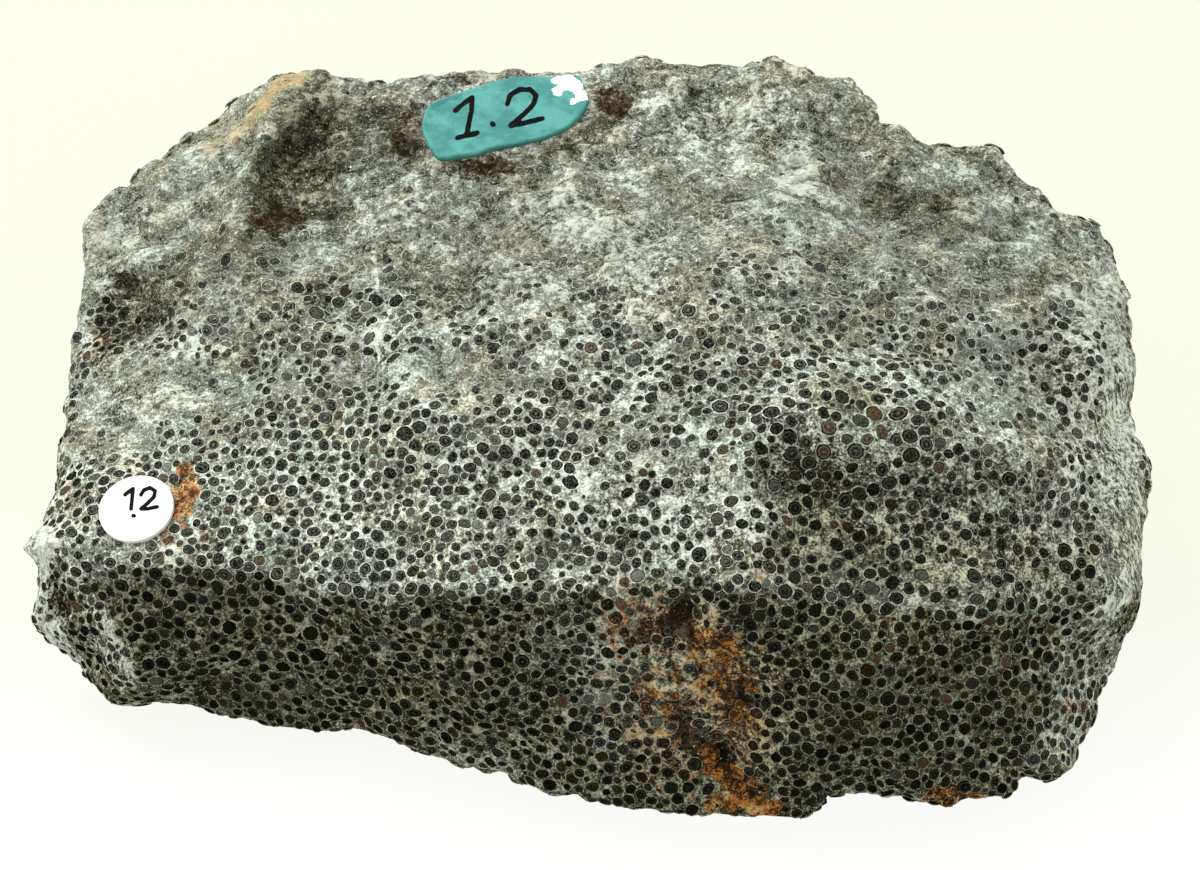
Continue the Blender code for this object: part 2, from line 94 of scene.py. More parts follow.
# Patches of the seen side: pixel x, pixel y, half width, half height, turn in degrees, strength.
PATCHES = {
    # Freshly broken places, darker partly as painted shade.
    "fresh_and_shaded": [
        (850, 440, 66, 46, 0, 0.5), (840, 520, 60, 60, 0, 0.3), (440, 290, 60, 28, 0, 0.45),
        (330, 290, 36, 16, -15, 0.5), (230, 250, 50, 26, -10, 0.4), (690, 275, 26, 16, 0, 0.35),
        (690, 385, 18, 40, -15, 0.35), (600, 420, 20, 16, 0, 0.4), (650, 480, 22, 22, 0, 0.4),
        (615, 540, 30, 18, 0, 0.5), (380, 405, 20, 26, 0, 0.3), (830, 175, 20, 16, 0, 0.6),
        (875, 208, 26, 15, 0, 0.7), (925, 200, 50, 20, 6, 0.5), (1050, 380, 40, 50, 0, 0.35),
        (72, 492, 26, 14, -10, 0.6), (740, 90, 30, 20, 0, 0.2),
    ],
    # Weathered places, set also where painted light is wanted: they take away the darker freshly broken
    # colours and their painted shade.
    "aged_and_lit": [
        (612, 690, 40, 62, 0, 0.6), (645, 600, 44, 26, 0, 0.6), (1085, 665, 32, 50, 15, 0.7),
        (700, 690, 60, 84, -15, 0.55), (1066, 496, 50, 46, 0, 0.75), (650, 606, 60, 22, 0, 0.5),
        (1060, 740, 30, 30, 0, 0.8), (470, 762, 50, 16, 10, 0.5), (860, 436, 110, 30, 0, 0.6),
        (560, 640, 40, 30, 0, 0.35), (970, 500, 110, 60, 10, 0.3), (650, 720, 30, 30, 0, 0.3),
    ],
    # Painted shade on the upper side, on the brow and on the front side below it.
    "shade_and_grime": [
        (470, 130, 80, 60, 0, 0.45), (500, 230, 50, 70, 0, 0.35), (470, 75, 70, 14, 0, 0.5),
        (210, 270, 80, 50, 0, 0.15), (300, 380, 60, 50, 0, 0.4), (862, 716, 56, 50, 0, 0.9),
        (940, 690, 60, 40, 0, 0.35), (200, 620, 120, 60, 8, 0.35), (850, 560, 30, 26, 0, 0.4),
        (960, 350, 60, 30, 0, 0.3), (680, 200, 60, 30, 0, 0.3), (140, 305, 52, 46, 0, 0.3),
        (262, 712, 60, 40, 0, 1.0), (850, 575, 60, 36, 0, 0.6), (1000, 700, 60, 44, 0, 0.65),
        (1035, 420, 50, 30, 0, 0.35), (356, 125, 30, 60, 0, 0.5), (235, 604, 50, 16, 0, 0.5),
        (515, 652, 40, 44, 0, 0.6), (860, 700, 44, 48, 0, 0.7), (812, 765, 40, 24, 0, 0.6),
        (200, 605, 40, 14, 0, 0.4), (940, 760, 50, 26, 0, 0.5), (330, 285, 60, 30, 0, 0.4),
        (742, 618, 32, 30, 0, 0.8), (560, 230, 110, 60, 0, 0.3), (255, 585, 60, 28, 0, 0.5),
        (466, 704, 44, 50, 0, 0.5), (395, 140, 24, 40, 0, 0.5), (770, 330, 60, 30, 0, 0.2),
        (855, 175, 50, 30, 0, 0.3),
    ],
    # Chalky patches, and painted light on the lit facets, most at both ends.
    "chalk_and_lit": [
        (1090, 380, 44, 100, 0, 0.6), (1115, 330, 20, 60, 0, 0.6), (1110, 630, 18, 56, 10, 0.95),
        (108, 258, 30, 34, 0, 0.6), (798, 174, 26, 26, 40, 0.9), (765, 115, 30, 34, 20, 0.6),
        (695, 110, 60, 28, 10, 0.5), (725, 150, 60, 24, 30, 0.35), (1090, 300, 56, 13, 15, 1.0),
        (1085, 262, 36, 20, 25, 0.5), (560, 215, 60, 30, 10, 0.6), (625, 260, 46, 46, -20, 0.6),
        (620, 350, 60, 60, -35, 0.4), (560, 400, 60, 30, -15, 0.25), (430, 560, 60, 16, -5, 0.4),
        (185, 345, 22, 20, 0, 0.8), (150, 400, 70, 22, 0, 0.55), (368, 326, 34, 30, 0, 0.75),
        (34, 548, 22, 30, 0, 1.0), (300, 345, 60, 12, 0, 0.2), (48, 520, 22, 40, 0, 0.6),
        (50, 610, 24, 64, -12, 0.95), (322, 505, 34, 12, 50, 0.6), (480, 470, 60, 40, 20, 0.25),
        (590, 490, 30, 30, 0, 0.4), (700, 520, 60, 60, 0, 0.4), (620, 585, 50, 14, 0, 0.5),
        (166, 548, 18, 12, 0, 0.7), (1124, 490, 24, 120, 0, 0.45), (1088, 488, 44, 40, 0, 0.45),
        (400, 500, 300, 60, 0, 0.3), (640, 500, 120, 90, 0, 0.25), (130, 225, 30, 26, -30, 0.5),
        (210, 190, 26, 20, -30, 0.4), (220, 400, 50, 20, 0, 0.3),
    ],
    "rust": [
        (716, 646, 26, 14, 15, 0.75), (734, 690, 18, 38, -10, 0.6), (656, 700, 26, 16, 10, 0.4),
        (742, 806, 42, 12, 0, 0.9), (735, 775, 38, 18, 30, 0.6), (955, 801, 32, 11, 0, 0.7),
        (186, 487, 14, 36, 8, 0.8), (170, 531, 9, 7, 0, 0.5), (690, 700, 90, 100, -25, 0.32),
        (622, 612, 34, 26, 0, 0.35), (1075, 715, 14, 14, 0, 0.35), (770, 560, 16, 22, 0, 0.2),
    ],
    "dark_rust": [
        (678, 610, 24, 28, 0, 0.9), (702, 752, 42, 17, 28, 1.0), (738, 782, 32, 15, 28, 0.8),
        (700, 690, 90, 90, 0, 0.5), (640, 620, 24, 16, 0, 0.4), (276, 218, 34, 12, -10, 0.8),
        (452, 84, 26, 10, 0, 0.7), (614, 101, 26, 13, 0, 0.9), (408, 134, 16, 36, 0, 0.7),
        (495, 168, 34, 12, 0, 0.8), (64, 602, 12, 30, -15, 0.8), (740, 610, 30, 20, 0, 0.3),
        (106, 345, 24, 18, 0, 0.7), (140, 300, 44, 40, 0, 0.6), (480, 175, 60, 14, 10, 0.4),
        (900, 500, 130, 70, 15, 0.48), (800, 440, 50, 50, 0, 0.45), (1040, 560, 60, 50, 0, 0.42),
        (310, 160, 40, 60, 20, 0.45), (720, 690, 70, 70, -20, 0.15),
    ],
    "tan": [
        (276, 92, 44, 17, -38, 1.0), (228, 132, 44, 16, -38, 0.65), (180, 172, 30, 16, -40, 0.3),
        (96, 214, 12, 30, 0, 0.6), (200, 320, 10, 14, 0, 0.4), (90, 335, 7, 34, 0, 0.7),
        (690, 690, 100, 90, 0, 0.6), (880, 540, 150, 60, 10, 0.4), (165, 548, 22, 12, 0, 0.7),
        (470, 74, 36, 8, 0, 0.5), (1085, 300, 50, 40, 0, 0.3), (730, 700, 30, 80, -22, 0.6),
        (640, 596, 60, 24, 0, 0.55), (710, 625, 24, 20, 0, 0.5), (640, 745, 50, 40, 0, 0.25),
    ],
    "streaked": [
        (200, 320, 160, 130, 0, 0.9), (480, 380, 110, 26, 0, 0.8), (880, 250, 200, 70, 12, 0.8),
        (1040, 350, 100, 70, 15, 0.6), (230, 130, 90, 60, -35, 0.8), (110, 440, 60, 24, 0, 0.8),
    ],
    "steep": [
        (1122, 470, 28, 170, 0, 1.0), (96, 632, 30, 70, -28, 1.0), (44, 600, 20, 60, -10, 1.0),
        (1085, 690, 30, 60, 15, 0.7),
    ],
    "crests": [
        (760, 240, 120, 45, 8, 1.0), (330, 320, 130, 60, 0, 1.0), (590, 260, 90, 60, 0, 0.4),
        (450, 220, 90, 40, 0, 0.3), (140, 310, 60, 60, 0, 0.8), (950, 330, 140, 60, 15, 0.6),
        (600, 420, 260, 90, 0, 0.5),
    ],
}

# Regions with a firm edge: outline as pixels, width of the edge in pixels, strength.
REGIONS = {
    # Freshly broken places, and painted shade on the darker facets, the rim at the top right, round the
    # dents and on the panel at the right.
    "fresh_and_shaded": [
        ([(250, 232), (238, 205), (262, 150), (285, 108), (312, 70), (345, 84), (368, 110), (360, 150),
          (346, 188), (340, 224), (300, 222)], 8, 0.9),
        ([(372, 112), (400, 98), (424, 98), (428, 128), (434, 166), (478, 164), (520, 155), (575, 134),
          (592, 118), (590, 92), (606, 84), (640, 92), (632, 116), (600, 134), (545, 164), (505, 184),
          (478, 174), (420, 168), (398, 170), (380, 150)], 7, 0.85),
        ([(90, 272), (140, 264), (190, 262), (184, 296), (166, 322), (140, 338), (118, 362),
          (92, 362)], 9, 0.75),
        ([(745, 68), (815, 74), (850, 86), (880, 112), (915, 136), (960, 146), (1005, 158), (1012, 178),
          (960, 166), (905, 158), (862, 130), (830, 104), (780, 84)], 8, 0.5),
        ([(862, 188), (900, 182), (975, 192), (990, 236), (930, 240), (880, 228)], 9, 0.5),
        ([(762, 436), (800, 408), (850, 398), (905, 402), (940, 432), (1000, 478), (1060, 490), (1104, 498),
          (1112, 604), (1080, 616), (906, 608), (790, 600), (764, 560), (752, 500)], 12, 0.62),
        ([(56, 576), (78, 580), (100, 606), (112, 648), (96, 668), (60, 640)], 7, 0.9),
    ],
    # Chalky ribs at the left end, brightened also as painted light.
    "chalk_and_lit": [
        ([(58, 556), (76, 562), (104, 600), (122, 650), (136, 690), (118, 692), (100, 650),
          (84, 606)], 6, 0.8),
        ([(148, 556), (186, 520), (196, 524), (180, 552), (158, 566)], 5, 0.6),
        ([(28, 540), (50, 552), (55, 590), (62, 630), (82, 668), (72, 676), (50, 650), (30, 620)], 6, 0.95),
    ],
}

# How much painted shade darkens the stone by height in the picture: most near its top.
SHADE_Y = (60, 250, 330, 400)
SHADE_BY_Y = (0.42, 0.40, 0.28, 0.0)

# How clearly the grains stand out: by height in the picture, and in patches as above.
CLEAR_Y = (60, 150, 230, 300, 360, 430, 480)
CLEAR = (0.0, 0.08, 0.25, 0.45, 0.7, 0.92, 1.0)
CLEARER = [
    (860, 330, 200, 60, 15, 0.45), (700, 300, 90, 60, 0, 0.2), (850, 440, 90, 60, 0, 1.0),
    (330, 310, 90, 34, -5, 0.75), (760, 250, 60, 26, 0, 0.35), (120, 300, 50, 50, 0, 0.6),
    (70, 495, 30, 22, 0, 0.9),
]
FAINTER = [
    (170, 390, 100, 34, 0, 0.75), (150, 220, 90, 50, -30, 0.9), (690, 690, 60, 90, -15, 0.35),
    (980, 230, 130, 50, 10, 0.6), (440, 372, 120, 16, 0, 0.7), (560, 210, 90, 50, 0, 0.6),
    (660, 460, 90, 60, 0, 0.35), (186, 487, 15, 34, 8, 0.7), (36, 560, 16, 50, 0, 0.8),
    (54, 610, 22, 60, -12, 0.55), (118, 640, 16, 56, -26, 0.55), (1110, 635, 18, 50, 10, 0.7),
    (270, 100, 60, 30, -38, 1.0), (130, 545, 60, 22, 0, 0.4), (1120, 470, 24, 150, 0, 0.9),
    (1010, 420, 90, 46, 22, 0.45), (110, 440, 60, 24, 0, 0.6),
]
SPARSER = [
    (920, 520, 190, 80, 10, 0.9), (700, 680, 70, 100, 0, 1.0), (660, 480, 80, 70, 0, 0.8),
]
BIGGER = [
    (855, 440, 90, 60, 0, 0.9), (900, 560, 160, 60, 0, 0.35), (250, 640, 200, 60, 8, 0.3),
    (330, 310, 60, 30, 0, 0.3),
]
SMALLER = [
    (1122, 470, 26, 170, 0, 0.9), (54, 610, 24, 60, -12, 0.9), (118, 640, 20, 60, -26, 0.8),
    (1110, 635, 20, 50, 10, 0.8), (200, 380, 140, 60, 0, 0.4), (900, 300, 200, 70, 12, 0.45),
    (620, 250, 200, 90, 0, 0.4),
]

# Cracks with painted shade in them, and pale veins: the line as pixels, and its half width in pixels.
# Their marks fade out between two distances in pixels, and an offset from them goes up to LINE_LIMIT half
# widths.
LINE_FADE, LINE_LIMIT = (10.0, 16.0), 30.0
CRACKS = [
    ([(312, 172), (334, 169), (352, 170), (384, 166)], 1.1),
    ([(700, 198), (722, 200), (746, 199), (776, 197), (808, 203), (830, 214), (852, 232), (874, 240)], 1.3),
    ([(246, 231), (262, 228), (290, 223), (306, 224)], 1.1),
    ([(350, 595), (372, 602), (388, 609), (404, 600), (424, 592)], 1.8),
    ([(756, 444), (764, 470), (767, 492)], 1.2),
    ([(560, 150), (578, 144), (598, 141)], 1.0),
]
VEINS = [
    ([(375, 258), (376, 276), (380, 300), (376, 330), (381, 372)], 1.7),
    ([(342, 352), (358, 342), (378, 338), (402, 330), (420, 316)], 1.2),
    ([(352, 302), (366, 316), (378, 322)], 1.0),
    ([(398, 300), (386, 318), (372, 352)], 1.0),
    ([(666, 118), (680, 126), (694, 140)], 1.0),
]

# The looks of the unseen sides: one part of a smooth noise, its factor and shift, and the limits.
UNSEEN = {
    "fresh_and_shaded": (0, 0.6, 0.55, 0.1, 0.95),
    "shade_and_grime": (1, 0.5, 0.2, 0.0, 0.5),
    "chalk_and_lit": (1, 1.2, -0.1, 0.0, 0.6),
    "rust": (2, 2.5, -0.9, 0.0, 0.8),
    "dark_rust": (2, -2.5, -0.9, 0.0, 0.7),
    "tan": (1, -1.6, -0.45, 0.0, 0.4),
    "streaked": (0, 1.0, 0.4, 0.0, 0.9),
    "crests": (0, -1.0, 0.3, 0.0, 0.8),
    "clear": (0, 0.7, 0.75, 0.15, 1.0),
}

# Ledges of the break: as the patches above, with the ledges' own turn.
LEDGES = [
    (880, 240, 190, 70, 10, 1.0), (1000, 330, 110, 60, 14, 0.6), (250, 260, 170, 80, -4, 0.7),
    (450, 330, 160, 70, 2, 0.5), (900, 640, 200, 60, 2, 0.3),
]
LEDGE_SPACING_MM, LEDGE_HEIGHT_MM, LEDGE_SLOPE = 3.6, 0.55, 0.12

# Small pits and knobs of the seen side: pixel x, pixel y, radius in pixels, height in millimetres.
DENTS = [
    (692, 99, 9, -1.0), (1126, 406, 8, -0.9), (1098, 262, 10, -0.8), (1075, 275, 8, -0.6),
    (1114, 290, 7, -0.5), (1088, 250, 6, -0.4), (834, 182, 13, -0.7), (870, 205, 15, -0.8),
    (912, 213, 11, -0.6), (66, 610, 14, -0.8), (681, 612, 17, -1.0), (700, 645, 10, -0.6),
    (722, 752, 18, -0.9), (744, 782, 10, -0.6), (276, 216, 12, -0.5), (140, 290, 20, -0.7),
    (108, 330, 14, -0.6), (300, 150, 22, -0.5), (404, 606, 12, -0.6), (660, 560, 16, 0.4),
    (755, 110, 20, 0.5), (700, 150, 26, 0.4), (1010, 170, 16, 0.5),
]

# The paint's outline, the patches where it is chipped, and the pen lines on both labels, as pixels.
PAINT_OUTLINE = [
    (419, 127), (423, 112), (429, 103), (454, 94), (480, 85), (507, 77), (532, 75), (553, 76),
    (576, 73), (584, 77), (588, 88), (592, 98), (591, 108), (586, 116), (577, 127), (561, 137),
    (538, 145), (510, 151), (489, 154), (478, 160), (461, 161), (441, 165), (433, 160), (427, 149),
    (421, 137),
]
PAINT_CHIPS = [
    (570, 86, 15, 8, 20, 1.0), (583, 98, 8, 6, 0, 1.0), (558, 94, 7, 4, 30, 1.0), (556, 83, 5, 3, 0, 1.0),
    (574, 104, 4, 3, 0, 1.0),
]
INK_ON_PAINT = [
    [(456, 113), (465, 105), (473, 100), (472, 114), (469, 128), (467, 138)],
    [(458, 140), (468, 138), (478, 135)],
    [(508, 106), (511, 97), (520, 92), (531, 92), (537, 98), (534, 107), (524, 117), (511, 128)],
    [(511, 128), (522, 126), (534, 123), (543, 121)],
    [(493, 126), (494, 127)],
]
INK_ON_PAPER = [
    [(125, 494), (130, 490), (133, 488), (132, 498), (131, 508)],
    [(141, 494), (144, 489), (150, 487), (155, 490), (154, 496), (148, 502), (141, 508)],
    [(141, 508), (148, 508), (157, 506)],
    [(133, 515), (134, 515)],
]


def smooth_step(low, high, value):
    t = np.clip((value - low) / (high - low), 0.0, 1.0)
    return t * t * (3.0 - 2.0 * t)


def picture_place(points):
    """The pixels at which the photograph shows these points of the frame."""
    rel = points - TARGET
    share = (EYE_DISTANCE - rel @ TOWARDS) / EYE_DISTANCE
    x = TARGET_PIXEL[0] + (rel @ RIGHT) / share / PIXEL
    y = TARGET_PIXEL[1] - (rel @ UP) / share / PIXEL
    return x, y


def sight_way(x, y):
    """The direction from the eye to a pixel."""
    across = (x - TARGET_PIXEL[0]) * PIXEL
    up = (TARGET_PIXEL[1] - y) * PIXEL
    way = TARGET + RIGHT * across + UP * up - EYE
    return Vector(way / np.linalg.norm(way))


def cover(x, y, patches):
    """How far a set of patches together covers each place, from 0 to 1."""
    bare = np.ones_like(x)
    for px, py, half_width, half_height, turn, strength in patches:
        c, s = math.cos(math.radians(turn)), math.sin(math.radians(turn))
        dx, dy = x - px, y - py
        reach = np.hypot((dx * c + dy * s) / half_width, (dy * c - dx * s) / half_height)
        bare *= 1.0 - strength * (1.0 - smooth_step(0.55, 1.35, reach))
    return 1.0 - bare


def region_cover(x, y, regions):
    """The same for regions with an outline."""
    bare = np.ones_like(x)
    for outline, width, strength in regions:
        depth = distance_to_outline(x, y, outline) * np.where(inside(x, y, outline), 1.0, -1.0)
        bare *= 1.0 - strength * smooth_step(-width, width, depth)
    return 1.0 - bare


def from_segment(x, y, start, end):
    """Each place's distance from a segment, and its signed offset from the segment's line."""
    (ax, ay), (bx, by) = start, end
    dx, dy = bx - ax, by - ay
    t = np.clip(((x - ax) * dx + (y - ay) * dy) / (dx * dx + dy * dy), 0.0, 1.0)
    side = ((x - ax) * dy - (y - ay) * dx) / max(math.hypot(dx, dy), 1e-9)
    return np.hypot(x - ax - t * dx, y - ay - t * dy), side


def line_marks(x, y, lines):
    """The signed offset from the nearest line in its half widths, and how near that line is."""
    best, offset = np.full(len(x), FAR), np.zeros(len(x))
    for corners, half_width in lines:
        for start, end in zip(corners, corners[1:]):
            gone, side = from_segment(x, y, start, end)
            closer = gone < best
            best = np.where(closer, gone, best)
            offset = np.where(closer, side / half_width, offset)
    return np.clip(offset, -LINE_LIMIT, LINE_LIMIT), 1.0 - smooth_step(*LINE_FADE, best)


def wobble(points, wavelength_mm, seed):
    """A smooth random vector at each point, about -1 to 1."""
    scale = 1.0 / (wavelength_mm * MM)
    offset = Vector((seed * 7.31, seed * 3.17, seed * 5.93))
    return np.array([noise.noise_vector(Vector(p) * scale + offset) for p in points])


def rough(points, wavelength_mm, octaves, seed):
    """Fractal noise at each point, about -1 to 1."""
    scale = 1.0 / (wavelength_mm * MM)
    offset = Vector((seed * 7.31, seed * 3.17, seed * 5.93))
    return np.array([noise.fractal(Vector(p) * scale + offset, 0.9, 2.1, octaves) for p in points])


def looks_at(points, normals):
    """The stains, the painted light and shade, and the clearness of the grains at each point of the stone.
    """
    sway = wobble(points, 5.0, 1) * 14.0 + wobble(points, 1.6, 2) * 5.0
    x, y = picture_place(points)
    x, y = x + sway[:, 0], y + sway[:, 1]
    seen = smooth_step(-0.1, 0.1, ((EYE - points) * normals).sum(axis=1) / EYE_DISTANCE)
    patchy = wobble(points, 14.0, 3)
    looks = {}
    for name, patches in PATCHES.items():
        bare = (1.0 - cover(x, y, patches)) * (1.0 - region_cover(x, y, REGIONS.get(name, ())))
        looks[name] = (1.0 - bare) * seen
    # Below the brow the stone counts as freshly broken: its darker colours there are partly the break and
    # partly painted shade on the front side.
    front = smooth_step(-8.0, 10.0, y - np.interp(x, BROW_X, BROW_Y))
    looks["fresh_and_shaded"] = np.maximum(looks["fresh_and_shaded"], front * 0.95) * seen * (1.0 - looks.pop("aged_and_lit"))
    looks["fresh_and_shaded"] *= 1.0 - 0.85 * region_cover(x, y, REGIONS["chalk_and_lit"])
    looks["shade_and_grime"] = (1.0 - (1.0 - looks["shade_and_grime"]) * (1.0 - np.interp(y, SHADE_Y, SHADE_BY_Y))) * seen
    looks["chalk_and_lit"] *= 1.0 - 0.5 * front * (1.0 - region_cover(x, y, REGIONS["chalk_and_lit"]))
    looks["crests"] *= 1.0 - front
    clear = np.interp(y, CLEAR_Y, CLEAR)
    clear = np.maximum(clear, cover(x, y, CLEARER)) * (1.0 - cover(x, y, FAINTER))
    looks["clear"] = np.maximum(clear, front * 0.95 * (1.0 - 0.7 * cover(x, y, FAINTER))) * seen
    for name, (axis, factor, shift, low, high) in UNSEEN.items():
        looks[name] += (1.0 - seen) * np.clip(shift + factor * patchy[:, axis], low, high)
    looks["steep"] += (1.0 - seen) * smooth_step(0.5, 0.8, np.abs(normals[:, 0]))
    return looks


def mesh_arrays(data):
    points = np.empty(len(data.vertices) * 3)
    data.vertices.foreach_get("co", points)
    normals = np.empty(len(data.vertices) * 3)
    data.vertices.foreach_get("normal", normals)
    return points.reshape(-1, 3), normals.reshape(-1, 3)


def add_values(data, name, values):
    """A number at each point of a mesh, for its material to read."""
    values = np.asarray(values, dtype=np.float32)
    data.attributes.new(name, "FLOAT", "POINT").data.foreach_set("value", values)


def add_piece(name, data, material, slot, *nodes):
    """Makes an object of a mesh, riding on the one body, in place of the named CAD nodes."""
    piece = bpy.data.objects.new(name, data)
    bpy.context.scene.collection.objects.link(piece)
    data.materials.clear()
    data.materials.append(material)
    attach(piece, "root")
    if nodes:
        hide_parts(*nodes)
    return piece


def spot_frame():
    """The middle of the CAD paper spot's underside and the direction that it faces."""
    points, _ = mesh_arrays(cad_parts["paper_spot"].data)
    middle = points.mean(axis=0)
    facing = np.linalg.svd(points - middle)[2][2]
    if facing @ TOWARDS < 0.0:
        facing = -facing
    low = ((points - middle) @ facing).min()
    return middle + facing * low, facing


def ledge_heights(points, x, y):
    """Small steps that face down the picture, in metres."""
    run = y * PIXEL / MM + x * PIXEL / MM * LEDGE_SLOPE
    phase = run / LEDGE_SPACING_MM + wobble(points, 9.0, 5)[:, 0] * 1.6 + wobble(points, 2.6, 6)[:, 0] * 0.3
    part = phase - np.floor(phase)
    step = np.where(part < 0.8, part / 0.8, (1.0 - part) / 0.2)
    return (step - 0.5) * LEDGE_HEIGHT_MM * MM * cover(x, y, LEDGES)


def dent_heights(x, y):
    height = np.zeros_like(x)
    for px, py, radius, amount in DENTS:
        reach = np.hypot(x - px, y - py) / radius
        height += amount * MM * (1.0 - smooth_step(0.2, 1.0, reach))
    return height


def relief(points, x, y, seen):
    """The heights of the broken surface, in metres, and how far each place stands out or lies deep."""
    high_up = np.where(seen, 1.0 - smooth_step(300.0, 470.0, y), 0.6)
    lobes = np.minimum(np.abs(rough(points, 8.0, 2, 7)) * 2.2, 1.0)
    lumps = np.minimum(np.abs(rough(points, 3.4, 2, 8)) * 2.2, 1.0)
    grit = np.abs(rough(points, 2.0, 2, 4))
    lift = rough(points, 6.0, 3, 3) * 0.26
    lift += (lobes - 0.55) * (0.10 + 0.62 * high_up) + (lumps - 0.5) * (0.08 + 0.36 * high_up)
    lift += grit * (0.12 + 0.20 * high_up)
    lift *= MM
    steps = np.where(seen, ledge_heights(points, x, y) + dent_heights(x, y), 0.0)
    standing = (lobes - 0.5) * 0.8 + (lumps - 0.5) * 0.9 + steps / MM * 0.6
    return lift + steps, np.clip(standing, -1.0, 1.0)


def outline_reach(angles):
    """How far the photographed outline lies from its middle in each direction."""
    x, y = [], []
    for (ax, ay), (bx, by) in zip(OUTLINE, OUTLINE[1:] + OUTLINE[:1]):
        share = np.linspace(0.0, 1.0, 24, endpoint=False)
        x.append(ax + (bx - ax) * share - OUTLINE_MIDDLE[0])
        y.append(ay + (by - ay) * share - OUTLINE_MIDDLE[1])
    x, y = np.concatenate(x), np.concatenate(y)
    order = np.argsort(np.arctan2(y, x))
    return np.interp(angles, np.arctan2(y, x)[order], np.hypot(x, y)[order], period=math.tau)


def fit_outline(points, hold):
    """Moves the stone's rim, as the camera sees it, level across the floor to the photographed outline."""
    x, y = picture_place(points)
    dx, dy = x - OUTLINE_MIDDLE[0], y - OUTLINE_MIDDLE[1]
    angle, reach = np.arctan2(dy, dx), np.hypot(dx, dy)
    which = np.floor((angle + math.pi) / math.tau * RIM_BINS).astype(int) % RIM_BINS
    rim = np.zeros(RIM_BINS)
    np.maximum.at(rim, which, reach)
    rim = (np.roll(rim, 1) + rim * 2.0 + np.roll(rim, -1)) / 4.0
    middles = (np.arange(RIM_BINS) + 0.5) / RIM_BINS * math.tau - math.pi
    own = np.interp(angle, middles, rim, period=math.tau)
    near = 1.0 - smooth_step(0.0, RIM_WIDTH, own - reach)
    grow = (outline_reach(angle) - own) / own * near * hold
    moved = points.copy()
    moved[:, 0] += dx * grow * PIXEL
    moved[:, 1] -= dy * grow * PIXEL / math.sin(EYE_ELEVATION)
    return moved


ROUNDING_PASSES = 5

# How far from the paper's middle the stone stays flat and in its place, fading out between the two.
SEAT_FLAT_MM, SEAT_HELD_MM = (4.2, 6.0), (4.6, 8.0)


def even_out(data, passes):
    """Rounds a mesh's corners without shrinking it, with its flat base left as it is."""
    points, _ = mesh_arrays(data)
    ends = np.empty(len(data.edges) * 2, dtype=np.int64)
    data.edges.foreach_get("vertices", ends)
    a, b = ends.reshape(-1, 2).T
    number = np.bincount(ends, minlength=len(points))[:, None]
    loose = (points[:, 2] > 1e-6)[:, None]
    for _ in range(passes):
        for share in (0.6, -0.62):
            total = np.zeros_like(points)
            np.add.at(total, a, points[b])
            np.add.at(total, b, points[a])
            points = np.where(loose, points + share * (total / number - points), points)
    points[:, 2] = np.maximum(points[:, 2], 0.0)
    data.vertices.foreach_set("co", points.ravel())
    data.update()


def stone_data():
    """The CAD stone, cut finer, rounded, and given the small forms of a broken surface."""
    mesh = bmesh.new()
    mesh.from_mesh(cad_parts["stone"].data)
    bmesh.ops.remove_doubles(mesh, verts=mesh.verts, dist=1e-6)
    bmesh.ops.subdivide_edges(mesh, edges=mesh.edges, cuts=3, use_grid_fill=True)
    bmesh.ops.triangulate(mesh, faces=mesh.faces)
    data = bpy.data.meshes.new("stone_looks")
    mesh.to_mesh(data)
    mesh.free()
    even_out(data, ROUNDING_PASSES)
    points, normals = mesh_arrays(data)
    x, y = picture_place(points)
    seen = ((EYE - points) * normals).sum(axis=1) > 0.0
    spot_middle, _ = spot_frame()
    from_spot = np.linalg.norm(points - spot_middle, axis=1) / MM
    calm = smooth_step(*SEAT_FLAT_MM, from_spot)
    off_spot = smooth_step(*SEAT_HELD_MM, from_spot)
    outline = rounded_outline(PAINT_OUTLINE, 1)
    depth = distance_to_outline(x, y, outline) * np.where(inside(x, y, outline), 1.0, -1.0)
    calm *= 1.0 - 0.8 * smooth_step(-14.0, 2.0, depth) * seen
    lift, standing = relief(points, x, y, seen)
    free = smooth_step(0.0, 1.2, points[:, 2] / MM)
    lift *= (0.05 + 0.95 * calm) * free
    moved = fit_outline(points + normals * lift[:, None], free * off_spot)
    moved[:, 2] = np.maximum(moved[:, 2], 0.0)
    data.vertices.foreach_set("co", moved.ravel())
    data.update()
    data.shade_smooth()
    for key, values in looks_at(moved, normals).items():
        add_values(data, key, values)
    add_values(data, "standing", standing)
    for key, lines in (("crack", CRACKS), ("vein", VEINS)):
        offset, near = line_marks(x, y, lines)
        add_values(data, key, offset)
        add_values(data, key + "_near", near * seen)
    return data


def new_material(name):
    """A new material, short ways to add its nodes, and its shader's inputs."""
    material = bpy.data.materials.new(name)
    material.use_nodes = True
    tree = material.node_tree
    return material, Nodes(tree), tree.nodes["Principled BSDF"].inputs


